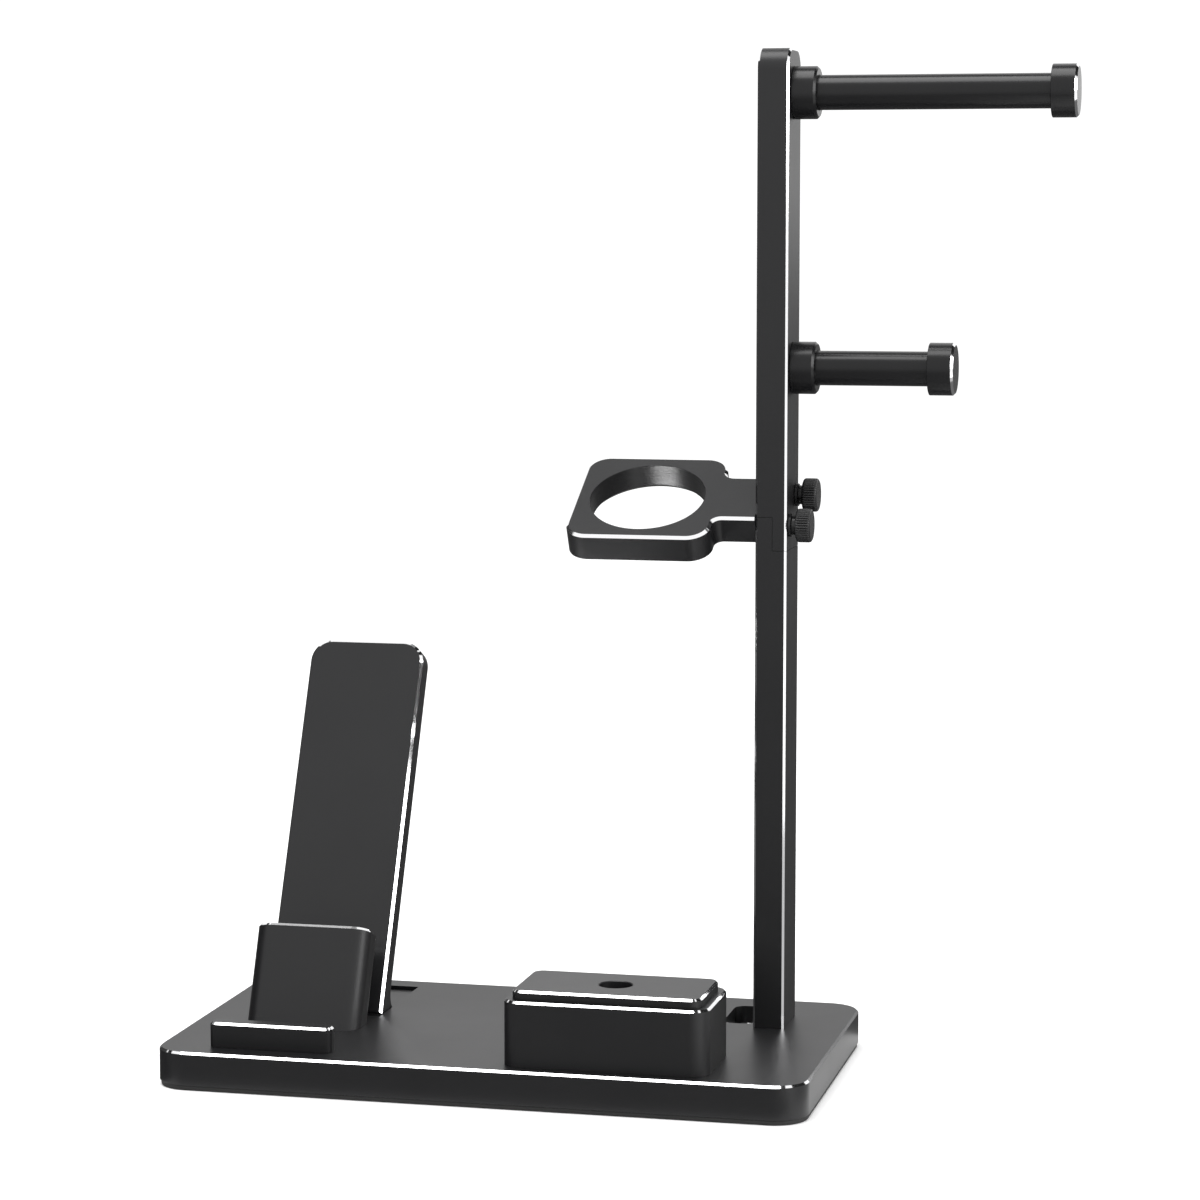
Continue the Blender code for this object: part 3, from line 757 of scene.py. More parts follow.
@dataclass
class Base:
    """The base plate and the rubber pad under it."""

    bench: Bench
    corner: float = 9 * MM
    pocket_gap: float = 0.3 * MM
    pocket_back: float = 39.4 * MM
    opening_width: float = 8.4 * MM
    opening_depth: float = 20.6 * MM
    opening_corner: float = 3 * MM
    opening_left: float = 51.8 * MM
    opening_front: float = 17.2 * MM
    groove_width: float = 6 * MM
    groove_depth: float = 4 * MM
    bore_radius: float = 4.3 * MM
    recess_depth: float = 0.6 * MM
    recess_gap: float = 0.25 * MM
    pad_inset: float = 0.4 * MM
    pad_edge: float = 0.2 * MM
    pad_overlap: float = 0.25 * MM

    def leads(self) -> list[Shape]:
        """Make the tools that cut the ways for the leads.

        Returns:
            Two openings, and a groove from each to the back edge.
        """
        low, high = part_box("base_plate")
        dock = centre_of("earbud_dock_slab")
        below = -MM
        opening = Shape.block((self.opening_width, self.opening_depth, high.z + 2 * MM),
                              self.opening_corner)
        middle = Vector((self.opening_left + self.opening_width / 2,
                         self.opening_front + self.opening_depth / 2, below))
        tools = [opening.moved(middle),
                 Shape.bar(Vector((dock.x, dock.y, below)),
                           Vector((dock.x, dock.y, high.z + MM)), self.bore_radius)]
        half = self.groove_width / 2
        for x, y in ((middle.x, middle.y), (dock.x, dock.y)):
            tools.append(box_between((x - half, y, below),
                                     (x + half, high.y + MM, low.z + self.groove_depth)))
        return tools

    def pocket(self) -> Shape:
        """The tool that cuts the pocket for the backrest's foot."""
        low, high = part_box("phone_backrest")
        gap = self.pocket_gap
        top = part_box("base_plate")[1].z
        return box_between((low.x - gap, low.y - gap, low.z - 2 * HAIRLINE),
                           (high.x + gap, self.pocket_back + 2 * gap, top + MM))

    def recesses(self) -> list[Shape]:
        """Make the tools that sink the screws' heads in the plate.

        Returns:
            One tool for each screw.
        """
        tools = []
        for node in FixingScrews.nodes():
            low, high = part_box(node)
            middle = centre_of(node)
            radius = (high.x - low.x) / 2
            top = low.z + radius * FixingScrews.recess_share + self.recess_depth
            tools.append(Shape.bar(Vector((middle.x, middle.y, -MM)),
                                   Vector((middle.x, middle.y, top)),
                                   radius + self.recess_gap, steps=RECESS_STEPS))
        return tools

    def build(self) -> None:
        """Build the plate and the pad."""
        low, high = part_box("base_plate")
        plate = Shape.block(high - low, self.corner, FINE_CHAMFER).soften()
        thing = self.bench.cut(plate.moved(Vector((0, 0, low.z))).to_object("plate"),
                               [self.pocket(), *self.leads(), *self.recesses()])
        self.bench.deliver(thing, CUT_FINISH, ["base_plate"], Slot.ANODISED)

        low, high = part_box("base_pad")
        pad = Shape.block((high.x - low.x, high.y - low.y, high.z + self.pad_overlap),
                          self.corner - self.pad_inset).soften(self.pad_edge)
        thing = self.bench.cut(pad.to_object("pad"), self.leads())
        self.bench.deliver(thing, ("rubber",), ["base_pad"], Slot.RUBBER)


# ---------------------------------------------------------------- fixing screws


@dataclass
class FixingScrews:
    """The screws that hold the docks and the post from below."""

    bench: Bench
    head_share: float = 0.6           # height of the head against its radius
    recess_share: float = 0.62        # depth of the recess against the head's radius
    thread_share: float = 0.52        # radius of the thread against the head's
    socket_share: float = 0.46        # radius of the socket against the head's
    socket_length: float = 1.1        # length of the socket's tool against the head's height
    head_steps: int = 48
    socket_sides: int = 6
    thread_steps: int = 32

    @staticmethod
    def nodes() -> list[str]:
        """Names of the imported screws."""
        kinds = ("post", "backrest", "connector", "stop", "dock")
        return [f"{kind}_screw_{side}" for kind in kinds for side in ("left", "right")]

    def tree(self) -> NodeTree:
        """Make the tree of one screw.

        Returns:
            The tree, with its head centred on the origin and its thread upwards.
        """
        tree = NodeTree("socket_screw", {"Head radius": 0.0028, "Thread radius": 0.0015,
                                         "Head height": 0.0017, "Length": 0.012})
        radius, height = tree.entry("Head radius"), tree.entry("Head height")
        length = tree.entry("Length")
        head = tree.cylinder(radius, height, self.head_steps)
        socket = tree.cylinder(radius * self.socket_share, height * self.socket_length,
                               self.socket_sides)
        lifted = tree.shift(socket, height * (-self.socket_length / 2))
        drilled = tree.node("GeometryNodeMeshBoolean", {"operation": "DIFFERENCE"},
                            {"Mesh 1": head, "Mesh 2": lifted})
        shank = tree.cylinder(tree.entry("Thread radius"), length, self.thread_steps)
        raised = tree.shift(shank, length * 0.5)
        tree.finish([drilled.outputs["Mesh"], raised], self.bench.finishes["black_steel"])
        return tree

    def build(self) -> None:
        """Build the screws from one tree, as one piece."""
        tree = self.tree()
        whole = bmesh.new()
        for node in self.nodes():
            low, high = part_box(node)
            middle = centre_of(node)
            radius = (high.x - low.x) / 2
            height = radius * self.head_share
            screw = empty_object(node)
            tree.put_on(screw, {"Head radius": radius, "Thread radius": radius * self.thread_share,
                                "Head height": height, "Length": high.z - low.z - height})
            self.bench.apply(screw)
            screw.data.transform(Matrix.Translation((middle.x, middle.y, low.z + height / 2)))
            whole.from_mesh(screw.data)
            bpy.data.objects.remove(screw, do_unlink=True)
        self.bench.deliver(Shape(whole).to_object("fixings"), ("black_steel",), self.nodes(),
                           Slot.STEEL)


# ---------------------------------------------------------------- trees for repeated detail


class NodeTree(Wiring):
    """A geometry node tree with named sizes."""

    def __init__(self, name: str, sizes: dict[str, float]) -> None:
        """Start a tree.

        Args:
            name: the tree's name.
            sizes: its named inputs, with a usual value for each.
        """
        super().__init__(bpy.data.node_groups.new(name, "GeometryNodeTree"))
        face = self.tree.interface
        face.new_socket("Geometry", in_out="INPUT", socket_type="NodeSocketGeometry")
        face.new_socket("Geometry", in_out="OUTPUT", socket_type="NodeSocketGeometry")
        self.identifiers = {}
        for key, usual in sizes.items():
            socket = face.new_socket(key, in_out="INPUT", socket_type="NodeSocketFloat")
            socket.default_value = usual
            self.identifiers[key] = socket.identifier
        self.enter = self.tree.nodes.new("NodeGroupInput")
        self.leave = self.tree.nodes.new("NodeGroupOutput")

    def entry(self, key: str) -> Value:
        """The value of a named size."""
        return Value(self, self.enter.outputs[key])

    def cylinder(self, radius: Value, depth: Value, steps: int,
                 rows: int = 1) -> bpy.types.NodeSocket:
        """Add a cylinder along Z, centred on the origin.

        Args:
            radius: its radius.
            depth: its length.
            steps: how many faces go round.
            rows: how many faces go along.

        Returns:
            The socket that gives the mesh.
        """
        made = self.node("GeometryNodeMeshCylinder", {"fill_type": "NGON"},
                         {"Vertices": steps, "Side Segments": rows, "Radius": radius,
                          "Depth": depth})
        return made.outputs["Mesh"]

    def shift(self, mesh: bpy.types.NodeSocket, z: Value) -> bpy.types.NodeSocket:
        """Move a mesh along Z."""
        offset = self.node("ShaderNodeCombineXYZ", {}, {"Z": z}).outputs[0]
        return self.node("GeometryNodeTransform", {},
                         {"Geometry": mesh, "Translation": offset}).outputs[0]

    def finish(self, meshes: Sequence[bpy.types.NodeSocket],
               material: bpy.types.Material) -> None:
        """End the tree: join, realise and give the material."""
        joined = self.node("GeometryNodeJoinGeometry")
        for mesh in meshes:
            self.feed(joined, {0: mesh})
        real = self.node("GeometryNodeRealizeInstances", {}, {0: joined.outputs[0]})
        dressed = self.node("GeometryNodeSetMaterial", {},
                            {0: real.outputs[0], "Material": material})
        self.feed(self.leave, {0: dressed.outputs[0]})

    def put_on(self, thing: bpy.types.Object, sizes: dict[str, float]) -> None:
        """Give an object the tree as a modifier, with its sizes."""
        modifier = thing.modifiers.new("nodes", "NODES")
        modifier.node_group = self.tree
        for key, size in sizes.items():
            modifier[self.identifiers[key]] = size


# ---------------------------------------------------------------- post


@dataclass
class Post:
    """The flat post, in two lengths that meet in a half lap."""

    bench: Bench
    corner: float = 5.5 * MM
    tongue: float = 4.4 * MM
    lap_gap: float = 0.3 * MM
    sink: float = 0.26 * MM

    def blank(self, low: Vector, high: Vector, name: str) -> bpy.types.Object:
        """Make the whole post as one bar with bright edges.

        Args:
            low: its lowest corner.
            high: its highest corner.
            name: the new object's name.

        Returns:
            The bar.
        """
        half = (high.y - low.y) / 2
        corners = [(low.z, -half, 0), (high.z, -half, self.corner), (high.z, half, self.corner),
                   (low.z, half, 0)]
        shape = Shape.plate(corners, high.x - low.x)
        for face in (-(high.x - low.x) / 2, (high.x - low.x) / 2):
            shape.bevel(lambda edge: is_rim(edge, face) and not lies_at(edge, 0, low.z),
                        FINE_CHAMFER, tone=Tone.BRIGHT)
        middle = (low + high) / 2
        shape.moved(Matrix.Translation((0, middle.y, 0)) @ cross_section(middle.x))
        bmesh.ops.recalc_face_normals(shape.mesh, faces=shape.mesh.faces)
        return shape.to_object(name)

    def build(self) -> None:
        """Build both lengths."""
        lower_low, lower_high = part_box("lower_post")
        upper_low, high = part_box("upper_post")
        low = Vector((lower_low.x, lower_low.y, lower_low.z - self.sink))
        split = lower_low.x + self.tongue + HAIRLINE
        tongue_top = lower_high.z
        lap_low = upper_low.z - self.lap_gap
        out = 2 * MM
        front, back = low.y - out, high.y + out
        left, right = low.x - out, high.x + out
        bottom, top = low.z - out, high.z + out
        lower = self.bench.cut(self.blank(low, high, "post_lower"), [
            box_between((left, front, tongue_top), (right, back, top)),
            box_between((split, front, lap_low), (right, back, top))])
        self.bench.deliver(lower, CUT_FINISH, ["lower_post"], Slot.ANODISED)
        upper = self.bench.cut(self.blank(low, high, "post_upper"), [
            box_between((left, front, bottom), (right, back, lap_low + SEAM)),
            box_between((left, front, bottom), (split + SEAM, back, tongue_top + SEAM))])
        self.bench.deliver(upper, CUT_FINISH, ["upper_post"], Slot.ANODISED)


# ---------------------------------------------------------------- watch arm


@dataclass
class WatchArm:
    """The tilted arm with a ring for a watch charger."""

    bench: Bench
    tilt: float = math.radians(28.5)
    thickness: float = 7.5 * MM
    neck: float = 19.6 * MM
    width: float = 38.4 * MM
    depth: float = 38 * MM
    radius: float = 15.3 * MM
    reach: float = 29.8 * MM
    offset: float = -0.4 * MM
    corner: float = 6 * MM
    fillet: float = 2.4 * MM
    undercut: float = 1.4 * MM
    rim: float = 0.1 * MM

    def build(self) -> None:
        """Build the arm."""
        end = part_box("lower_post")[0].x - HAIRLINE
        middle_y = centre_of("lower_post").y
        centre_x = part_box("watch_arm")[1].x - self.reach
        left, right = centre_x - self.width / 2, centre_x + self.width / 2
        front, back = self.offset - self.depth / 2, self.offset + self.depth / 2
        half = self.neck / 2
        corners = [(left, front, self.corner), (left, back, self.corner),
                   (right, back, self.corner), (right, half, self.fillet), (end, half, 0),
                   (end, -half, 0), (right, -half, self.fillet), (right, front, self.corner)]
        shape = Shape.plate(corners, self.thickness)
        top = self.thickness / 2
        shape.bevel(lambda edge: is_rim(edge, top) and not lies_at(edge, 0, end), CHAMFER,
                    tone=Tone.BRIGHT)
        shape.bevel(lambda edge: is_rim(edge, -top) and not lies_at(edge, 0, end), BREAK, 2)
        hole = Shape.bore((centre_x, self.offset), (-top, top), self.radius, self.rim,
                          self.undercut, Tone.BORED)
        thing = self.bench.cut(shape.to_object("arm"), [hole])
        height = centre_of("watch_arm").z - self.offset * math.sin(self.tilt)
        slope = Matrix.Translation((0, middle_y, height)) @ Matrix.Rotation(self.tilt, 4, "X")
        thing.data.transform(slope)
        self.bench.deliver(thing, (*CUT_FINISH, "bored"), ["watch_arm"], Slot.ANODISED)


# ---------------------------------------------------------------- thumbscrews


@dataclass
class Thumbscrew:
    """A knurled screw that closes the lap, and the washer under its head."""

    bench: Bench
    level: str
    ridges: int = 40
    ridge_steps: int = 8              # faces across one ridge
    rows: int = 20                    # faces along the grip
    roundness: float = 0.75           # depth of the shoulder against its length
    ridge_depth: float = 0.24 * MM
    shoulder: float = 0.8 * MM
    head_length: float = 4 * MM
    neck_radius: float = 2.5 * MM
    shank_radius: float = 1.5 * MM
    dip: float = 0.25 * MM            # how far the neck reaches into the grip
    edge: float = 0.12 * MM
    shank_end: float = 0.4 * MM
    hole_gap: float = 0.15 * MM

    def knurl(self) -> NodeTree:
        """Make the tree of the grip, with ridges along it and round shoulders.

        Returns:
            The tree, with the grip along Z and centred on the origin.
        """
        tree = NodeTree("knurled_grip", {"Radius": 0.0044, "Length": 0.004, "Ridges": 36.0,
                                         "Ridge depth": 0.0002, "Shoulder": 0.0008})
        radius, length, shoulder = (tree.entry(key) for key in ("Radius", "Length", "Shoulder"))
        mesh = tree.cylinder(radius, length, self.ridges * self.ridge_steps, self.rows)
        place = tree.node("GeometryNodeInputPosition").outputs[0]
        split = tree.node("ShaderNodeSeparateXYZ", {}, {0: place})
        x, y, z = (Value(tree, socket) for socket in split.outputs)
        wave = (y.math("ARCTAN2", x) * tree.entry("Ridges")).math("SINE")
        groove = (wave * 0.5 - 0.5).math("ABSOLUTE") ** 2.0
        inward = length * 0.5 - z.math("ABSOLUTE")
        share = 1.0 - (inward / shoulder).math("MINIMUM", 1.0)
        drop = 1.0 - (1.0 - share ** 2.0).math("SQRT")
        cutting = groove * (1.0 - share) * tree.entry("Ridge depth")
        lost = cutting + drop * self.roundness * shoulder
        keep = 1.0 - lost / radius
        moved = tree.node("ShaderNodeCombineXYZ", {}, {"X": x * keep, "Y": y * keep, "Z": z})
        placed = tree.node("GeometryNodeSetPosition", {},
                           {"Geometry": mesh, "Position": moved.outputs[0]})
        tree.finish([placed.outputs[0]], self.bench.finishes["black_steel"])
        return tree

    def screw(self, centre: tuple[float, float], neck_x: float) -> None:
        """Build the screw.

        Args:
            centre: y and z of its axis.
            neck_x: where its neck meets the washer.
        """
        body = f"{self.level}_thumbscrew"
        low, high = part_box(body)
        grip = empty_object("grip")
        self.knurl().put_on(grip, {
            "Radius": (high.z - low.z) / 2, "Length": self.head_length,
            "Ridges": float(self.ridges), "Ridge depth": self.ridge_depth,
            "Shoulder": self.shoulder})
        self.bench.apply(grip)
        turn = Matrix.Translation((high.x - self.head_length / 2, *centre))
        grip.data.transform(turn @ Matrix.Rotation(math.pi / 2, 4, "Y"))
        inside = high.x - self.head_length + self.dip
        whole = Shape.turned(
            [(inside, 0), (inside, self.neck_radius), (neck_x + self.edge, self.neck_radius),
             (neck_x, self.neck_radius - self.edge), (neck_x, self.shank_radius),
             (low.x + self.shank_end, self.shank_radius),
             (low.x, self.shank_radius - self.shank_end), (low.x, 0)], centre, steps=SMALL_STEPS)
        whole.mesh.from_mesh(grip.data)
        bpy.data.objects.remove(grip, do_unlink=True)
        self.bench.deliver(whole.to_object(f"{self.level}_screw"), ("black_steel",), [body],
                           Slot.THUMBSCREW, body)

    def washer(self, centre: tuple[float, float]) -> None:
        """Build the washer, round an axis at y and z."""
        body = f"{self.level}_washer"
        low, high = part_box(body)
        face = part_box("upper_post")[1].x + HAIRLINE
        outer = (high.z - low.z) / 2
        hole = self.shank_radius + self.hole_gap
        ring = Shape.turned(
            [(high.x, hole), (high.x, outer - self.edge), (high.x - self.edge, outer),
             (face + self.edge, outer), (face, outer - self.edge), (face, hole)],
            centre, steps=SMALL_STEPS)
        self.bench.deliver(ring.to_object(f"{self.level}_disc"), ("black_steel",), [body],
                           Slot.WASHER, body)

    def build(self) -> None:
        """Build the screw and its washer."""
        middle = centre_of(f"{self.level}_thumbscrew")
        centre = (middle.y, middle.z)
        self.screw(centre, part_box(f"{self.level}_washer")[1].x + HAIRLINE)
        self.washer(centre)


# ---------------------------------------------------------------- pegs


@dataclass
class Peg:
    """A headphone peg: a rod, a collar at its root and a cap on its end."""

    bench: Bench
    level: str
    bright_edge: float = 0.6 * MM
    line: float = 0.12 * MM           # air round the rod, and softening of plain edges
    cap_recess: float = 1 * MM
    spigot: float = 3 * MM
    spigot_hole: float = 3.5 * MM
    stud_share: float = 0.55          # radius of the spigot and stud against the rod's

    def build(self) -> None:
        """Build the three pieces."""
        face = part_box("upper_post")[1].x
        collar_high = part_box(f"{self.level}_peg_collar")[1]
        cap_low, cap_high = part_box(f"{self.level}_peg_cap")
        rod_low, rod_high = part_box(f"{self.level}_peg_rod")
        middle = centre_of(f"{self.level}_peg_cap")
        outer = (cap_high.z - cap_low.z) / 2
        inner = (rod_high.z - rod_low.z) / 2
        edge, line = self.bright_edge, self.line
        stud = inner * self.stud_share
        hole = inner + line
        entry = cap_low.x + self.cap_recess
        root = face + HAIRLINE
        low, high = cap_low.x, cap_high.x
        profiles = {
            "rod": [(entry + self.spigot, 0), (entry + self.spigot, stud), (entry - line, stud),
                    (entry - line, inner), (face + line, inner), (face + line, stud),
                    (rod_low.x, stud), (rod_low.x, 0)],
            "collar": [(collar_high.x, hole), (collar_high.x, outer - edge),
                       (collar_high.x - edge, outer), (root + line, outer),
                       (root, outer - line), (root, hole)],
            "cap": [(high, 0), (high, outer - edge), (high - edge, outer), (low + line, outer),
                    (low, outer - line), (low, hole), (entry, hole), (entry, stud + line),
                    (entry + self.spigot_hole, stud + line), (entry + self.spigot_hole, 0)]}
        for part, profile in profiles.items():
            bright = (1,) if part == "cap" else ()
            shape = Shape.turned(profile, (middle.y, middle.z), bright=bright)
            finishes = ("turned", "bright_cut") if bright else ("turned",)
            self.bench.deliver(shape.to_object(f"{self.level}_{part}"), finishes,
                               [f"{self.level}_peg_{part}"], Slot.ANODISED)


# ---------------------------------------------------------------- phone dock


@dataclass
class PhoneDock:
    """The backrest, the block in front of it and the low bar at the front."""

    bench: Bench
    tilt: float = math.radians(24.6)
    block_tilt: float = math.radians(23)
    thickness: float = 6.3 * MM
    corner: float = 6 * MM
    front_y: float = 5.4 * MM
    foot: float = 4 * MM
    fillet: float = 4 * MM
    relief: float = 0.4 * MM
    foot_back: float = 39.4 * MM
    block_front: float = -15.7 * MM
    block_height: float = 25.9 * MM
    block_thickness: float = 12.6 * MM
    block_root: float = 12 * MM       # what is cut off again where the block meets the base
    block_corner: float = 4.5 * MM
    bar_corner: float = 2 * MM

    def backrest(self) -> None:
        """Build the backrest, an angle whose foot lies in the plate."""
        plate_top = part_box("base_plate")[1].z
        low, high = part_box("phone_backrest")
        lean = Vector((math.sin(self.tilt), math.cos(self.tilt)))
        through = Vector((lean.y, -lean.x))
        start = Vector((self.front_y, plate_top))
        front_top = start + lean * (high.z - plate_top) / lean.y
        back_top = front_top + through * self.thickness
        foot_top = low.z + self.foot
        relieved_y = self.front_y + self.relief / lean.y
        relieved_low = relieved_y - (plate_top - low.z) * math.tan(self.tilt)
        inner_y = (self.front_y + self.thickness / lean.y
                   - (plate_top - foot_top) * math.tan(self.tilt))
        corners = [(low.z, relieved_low, 0), (plate_top, relieved_y, 0),
                   (plate_top, self.front_y, 0), (front_top.y, front_top.x, 0),
                   (back_top.y, back_top.x, 0), (foot_top, inner_y, self.fillet),
                   (foot_top, self.foot_back, 0), (low.z, self.foot_back, 0)]
        shape = Shape.plate(corners, high.x - low.x)
        middle = (low.x + high.x) / 2
        shape.moved(cross_section(middle))
        bmesh.ops.recalc_face_normals(shape.mesh, faces=shape.mesh.faces)

        def beyond(vert: bmesh.types.BMVert, facing: Vector) -> float:
            """How far a corner is from the plane through the top of the front."""
            return abs((Vector((vert.co.y, vert.co.z)) - front_top).dot(facing))

        def is_top(edge: bmesh.types.BMEdge) -> bool:
            """Whether an edge crosses the thickness at the top."""
            return (abs(edge.verts[0].co.x - edge.verts[1].co.x) < CLOSE
                    and all(beyond(vert, lean) < CLOSE for vert in edge.verts))

        def is_front(edge: bmesh.types.BMEdge) -> bool:
            """Whether an edge bounds the front."""
            return (all(beyond(vert, through) < CLOSE for vert in edge.verts)
                    and not lies_at(edge, 2, low.z)
                    and edge.calc_face_angle(0) > RIM_ANGLE)

        shape.bevel(is_top, self.corner, CORNER_STEPS)
        shape.bevel(is_front, CHAMFER, tone=Tone.BRIGHT).soften()
        self.bench.deliver(shape.to_object("backrest"), CUT_FINISH,
                           ["phone_backrest"], Slot.ANODISED)

    def block(self) -> None:
        """Build the block that the phone stands on."""
        plate_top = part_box("base_plate")[1].z
        low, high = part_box("connector_block")
        extra = self.block_root
        length = self.block_height / math.cos(self.block_tilt) + extra
        shape = Shape.block((high.x - low.x, self.block_thickness, length), self.block_corner,
                            CHAMFER)
        shape.moved(Vector((0, self.block_thickness / 2, -extra)))
        middle = (low.x + high.x) / 2
        lean = Matrix.Translation((middle, self.block_front, plate_top))
        shape.moved(lean @ Matrix.Rotation(-self.block_tilt, 4, "X"))
        below = box_between((low.x - extra, -4 * extra, -2 * extra),
                            (high.x + extra, 4 * extra, plate_top + HAIRLINE))
        thing = self.bench.cut(shape.to_object("block"), [below])
        self.bench.deliver(thing, CUT_FINISH, ["connector_block"], Slot.ANODISED)

    def bar(self) -> None:
        """Build the low bar."""
        plate_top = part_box("base_plate")[1].z
        shape = block_over("front_stop_bar", plate_top + HAIRLINE, self.bar_corner)
        self.bench.deliver(shape.to_object("bar"), CUT_FINISH, ["front_stop_bar"],
                           Slot.ANODISED)

    def build(self) -> None:
        """Build the three pieces."""
        self.backrest()
        self.block()
        self.bar()


# ---------------------------------------------------------------- earbud dock


@dataclass
class EarbudDock:
    """The block and the slab with the lead's hole."""

    bench: Bench
    block_corner: float = 5 * MM
    slab_corner: float = 3 * MM
    bore_radius: float = 4.3 * MM
    lead_in: float = 0.2 * MM

    def layer(self, kind: str, under: str, corner: float) -> None:
        """Build one layer of the dock.

        Args:
            kind: which layer it is.
            under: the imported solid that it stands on.
            corner: radius of its upright edges.
        """
        node = f"earbud_dock_{kind}"
        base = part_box(under)[1].z + HAIRLINE
        middle = centre_of(node)
        hole = Shape.bore((middle.x, middle.y), (base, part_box(node)[1].z), self.bore_radius,
                          self.lead_in)
        thing = self.bench.cut(block_over(node, base, corner).to_object(f"dock_{kind}"), [hole])
        self.bench.deliver(thing, CUT_FINISH, [node], Slot.ANODISED)

    def build(self) -> None:
        """Build both layers."""
        self.layer("block", "base_plate", self.block_corner)
        self.layer("slab", "earbud_dock_block", self.slab_corner)


# ---------------------------------------------------------------- studio


@dataclass(frozen=True)
class Card:
    """A board that only bright surfaces see, between two corners of a box."""

    name: str
    low: tuple[float, float, float]
    high: tuple[float, float, float]
    level: float


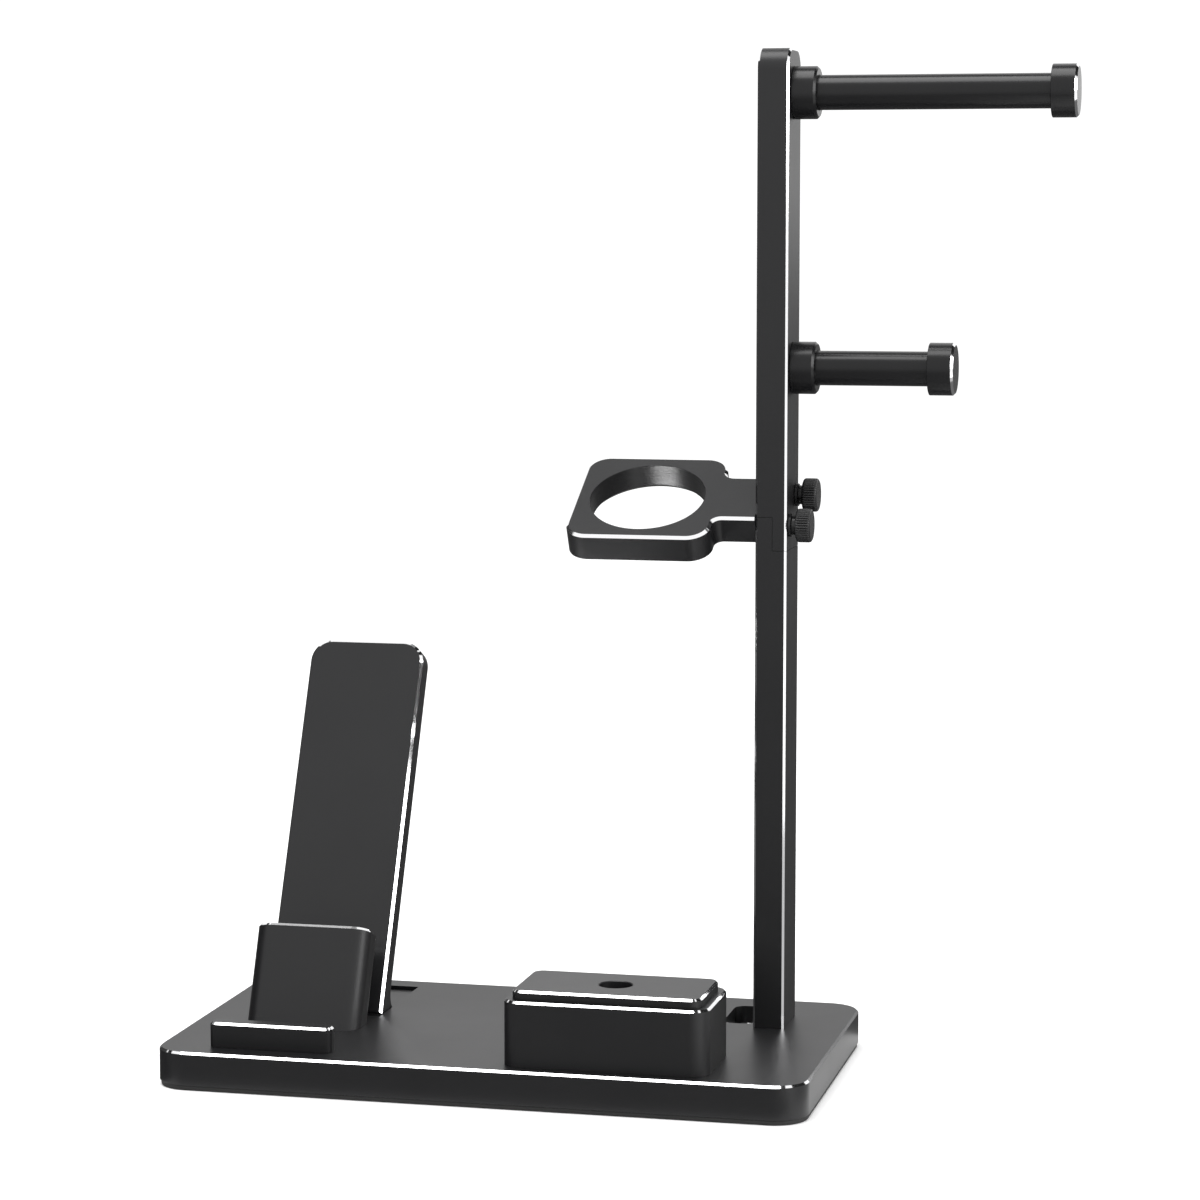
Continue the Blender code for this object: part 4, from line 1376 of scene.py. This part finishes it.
@dataclass
class Studio:
    """Floor, light, boards and camera."""

    finishes: dict[str, bpy.types.Material]
    floor_reach: float = 20.0
    surround: float = 1.1
    softbox: float = 5.0
    softbox_size: tuple[float, float] = (1.3, 0.9)
    softbox_place: tuple[float, float, float] = (-0.15, -0.1, 1.5)
    lens: float = 103.78
    sensor: float = 36.0
    camera_place: tuple[float, float, float] = (0.2268, -0.8666, 0.2215)
    camera_pitch: float = math.radians(83.743)
    camera_turn: float = math.radians(13.258)
    cards: tuple[Card, ...] = (
        Card("front_low", (-1.6, -0.46, 0.001), (1.3, -0.45, 0.1), 0.5),
        Card("front_middle", (-1.6, -0.46, 0.1), (1.3, -0.45, 0.2), 0.95),
        Card("front_top", (-1.6, -0.46, 0.2), (1.3, -0.45, 0.33), 1.15),
        Card("left", (-0.9, -0.44, -0.02), (-0.88, 0.9, 0.6), 0.05),
        Card("back", (-1.6, 1.0, 0.001), (1.6, 1.01, 0.2), 0.22),
        Card("front_floor", (-1.6, -0.45, 0.0003), (0.1, -0.052, 0.0006), 0.35),
        Card("back_floor", (-1.0, 0.052, 0.0003), (1.6, 1.0, 0.0006), 0.16),
        Card("rear", (-0.95, 0.4, 1.45), (0.28, 0.95, 1.46), 0.3),
        Card("right", (1.2, -0.5, 0.25), (1.21, 0.4, 0.8), 6.0),
        Card("ring_fill", (-0.006, 0.006, 0.108), (0.026, 0.026, 0.1083), 16.0),
        Card("ring_guard", (0.03, 0.0, 0.106), (0.0304, 0.032, 0.117), 0.02),
        Card("near_break", (0.3, -0.3, 1.45), (0.7, 0.9, 1.46), 0.02),
        Card("far_break", (0.86, 0.2, 1.45), (1.3, 1.6, 1.46), 0.02),
        Card("cap_break", (1.1, 0.5, 1.47), (2.4, 2.2, 1.48), 0.02),
        Card("right_floor", (0.1, -0.052, 0.0003), (0.6, 0.052, 0.0006), 0.6),
        Card("left_floor", (-0.9, -0.052, 0.0003), (-0.086, 0.052, 0.0006), 0.1),
        Card("left_break", (-1.9, 0.0, 1.45), (-0.9, 1.5, 1.46), 0.02))

    def board(self, card: Card) -> None:
        """Stand one board up."""
        board = box_between(card.low, card.high).to_object(card.name)
        shader = Shader(card.name)
        shader.feed(shader.surface, {
            "Base Color": (0, 0, 0, 1), "Specular IOR Level": 0.0,
            "Emission Strength": card.level,
            "Emission Color": shader.blend(shader.noise(4, 1), (0.9, 0.9, 0.9), (1, 1, 1))})
        board.data.materials.append(shader.material)
        board.visible_camera = False
        board.visible_diffuse = False
        board.visible_shadow = False

    def floor(self) -> None:
        """A wide pale floor."""
        shape = bmesh.new()
        bmesh.ops.create_grid(shape, x_segments=1, y_segments=1, size=self.floor_reach)
        floor = Shape(shape).to_object("floor")
        floor.data.materials.append(self.finishes["pale_floor"])

    def light(self) -> None:
        """A white surround and one large soft light above."""
        world = bpy.data.worlds.new("surround")
        world.use_nodes = True
        ground = world.node_tree.nodes["Background"]
        ground.inputs["Color"].default_value = (1, 1, 1, 1)
        ground.inputs["Strength"].default_value = self.surround
        bpy.context.scene.world = world
        lamp = bpy.data.lights.new("softbox", "AREA")
        lamp.shape = "RECTANGLE"
        lamp.size, lamp.size_y = self.softbox_size
        lamp.energy = self.softbox * math.pi * lamp.size * lamp.size_y
        holder = bpy.data.objects.new("softbox", lamp)
        holder.location = self.softbox_place
        holder.visible_camera = False
        bpy.context.scene.collection.objects.link(holder)

    def camera(self) -> None:
        """The camera, in front and to the right, at the height of the upper post."""
        data = bpy.data.cameras.new("camera")
        data.lens = self.lens
        data.sensor_width = self.sensor
        data.clip_end = 5 * self.floor_reach
        camera = bpy.data.objects.new("camera", data)
        camera.location = self.camera_place
        camera.rotation_euler = (self.camera_pitch, 0, self.camera_turn)
        bpy.context.scene.collection.objects.link(camera)
        bpy.context.scene.camera = camera

    def build(self) -> None:
        """Set the studio up."""
        self.floor()
        self.light()
        for card in self.cards:
            self.board(card)
        self.camera()
        bpy.context.scene.view_settings.view_transform = "Standard"


def clear() -> None:
    """Start from an empty scene."""
    for old in list(bpy.data.objects):
        bpy.data.objects.remove(old, do_unlink=True)


def main() -> None:
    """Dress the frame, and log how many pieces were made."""
    logging.basicConfig(level=logging.INFO, format="%(name)s: %(message)s")
    clear()
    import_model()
    turned = Anodised(
        name="turned", deep=(0.0045, 0.0045, 0.005), pale=(0.007, 0.007, 0.0076), roughness=0.24,
        refraction=1.36, grain=500, grain_depth=0.003 * MM, stretch=(12, 1, 1))
    bored = Anodised(
        name="bored", deep=(0.006, 0.006, 0.0066), pale=(0.009, 0.009, 0.0096), roughness=0.3,
        refraction=1.5, grain=4000, grain_depth=0.06 * MM, stretch=(0.02, 0.02, 1),
        tilt=WatchArm.tilt, strength=1.0)
    dressers = (Anodised(), turned, bored, BrightCut(), BlackSteel(), Rubber(), PaleFloor())
    finishes = {dresser.name: dresser.make() for dresser in dressers}
    bench = Bench(finishes)
    studio = Studio(finishes)
    studio.build()
    parts = [Base(bench), FixingScrews(bench), Post(bench), WatchArm(bench),
             Thumbscrew(bench, "upper"), Thumbscrew(bench, "lower"), Peg(bench, "upper"),
             Peg(bench, "lower"), PhoneDock(bench), EarbudDock(bench)]
    for part in parts:
        part.build()
    LOG.info("%d pieces made", bench.made)


if __name__ == "__main__":
    main()
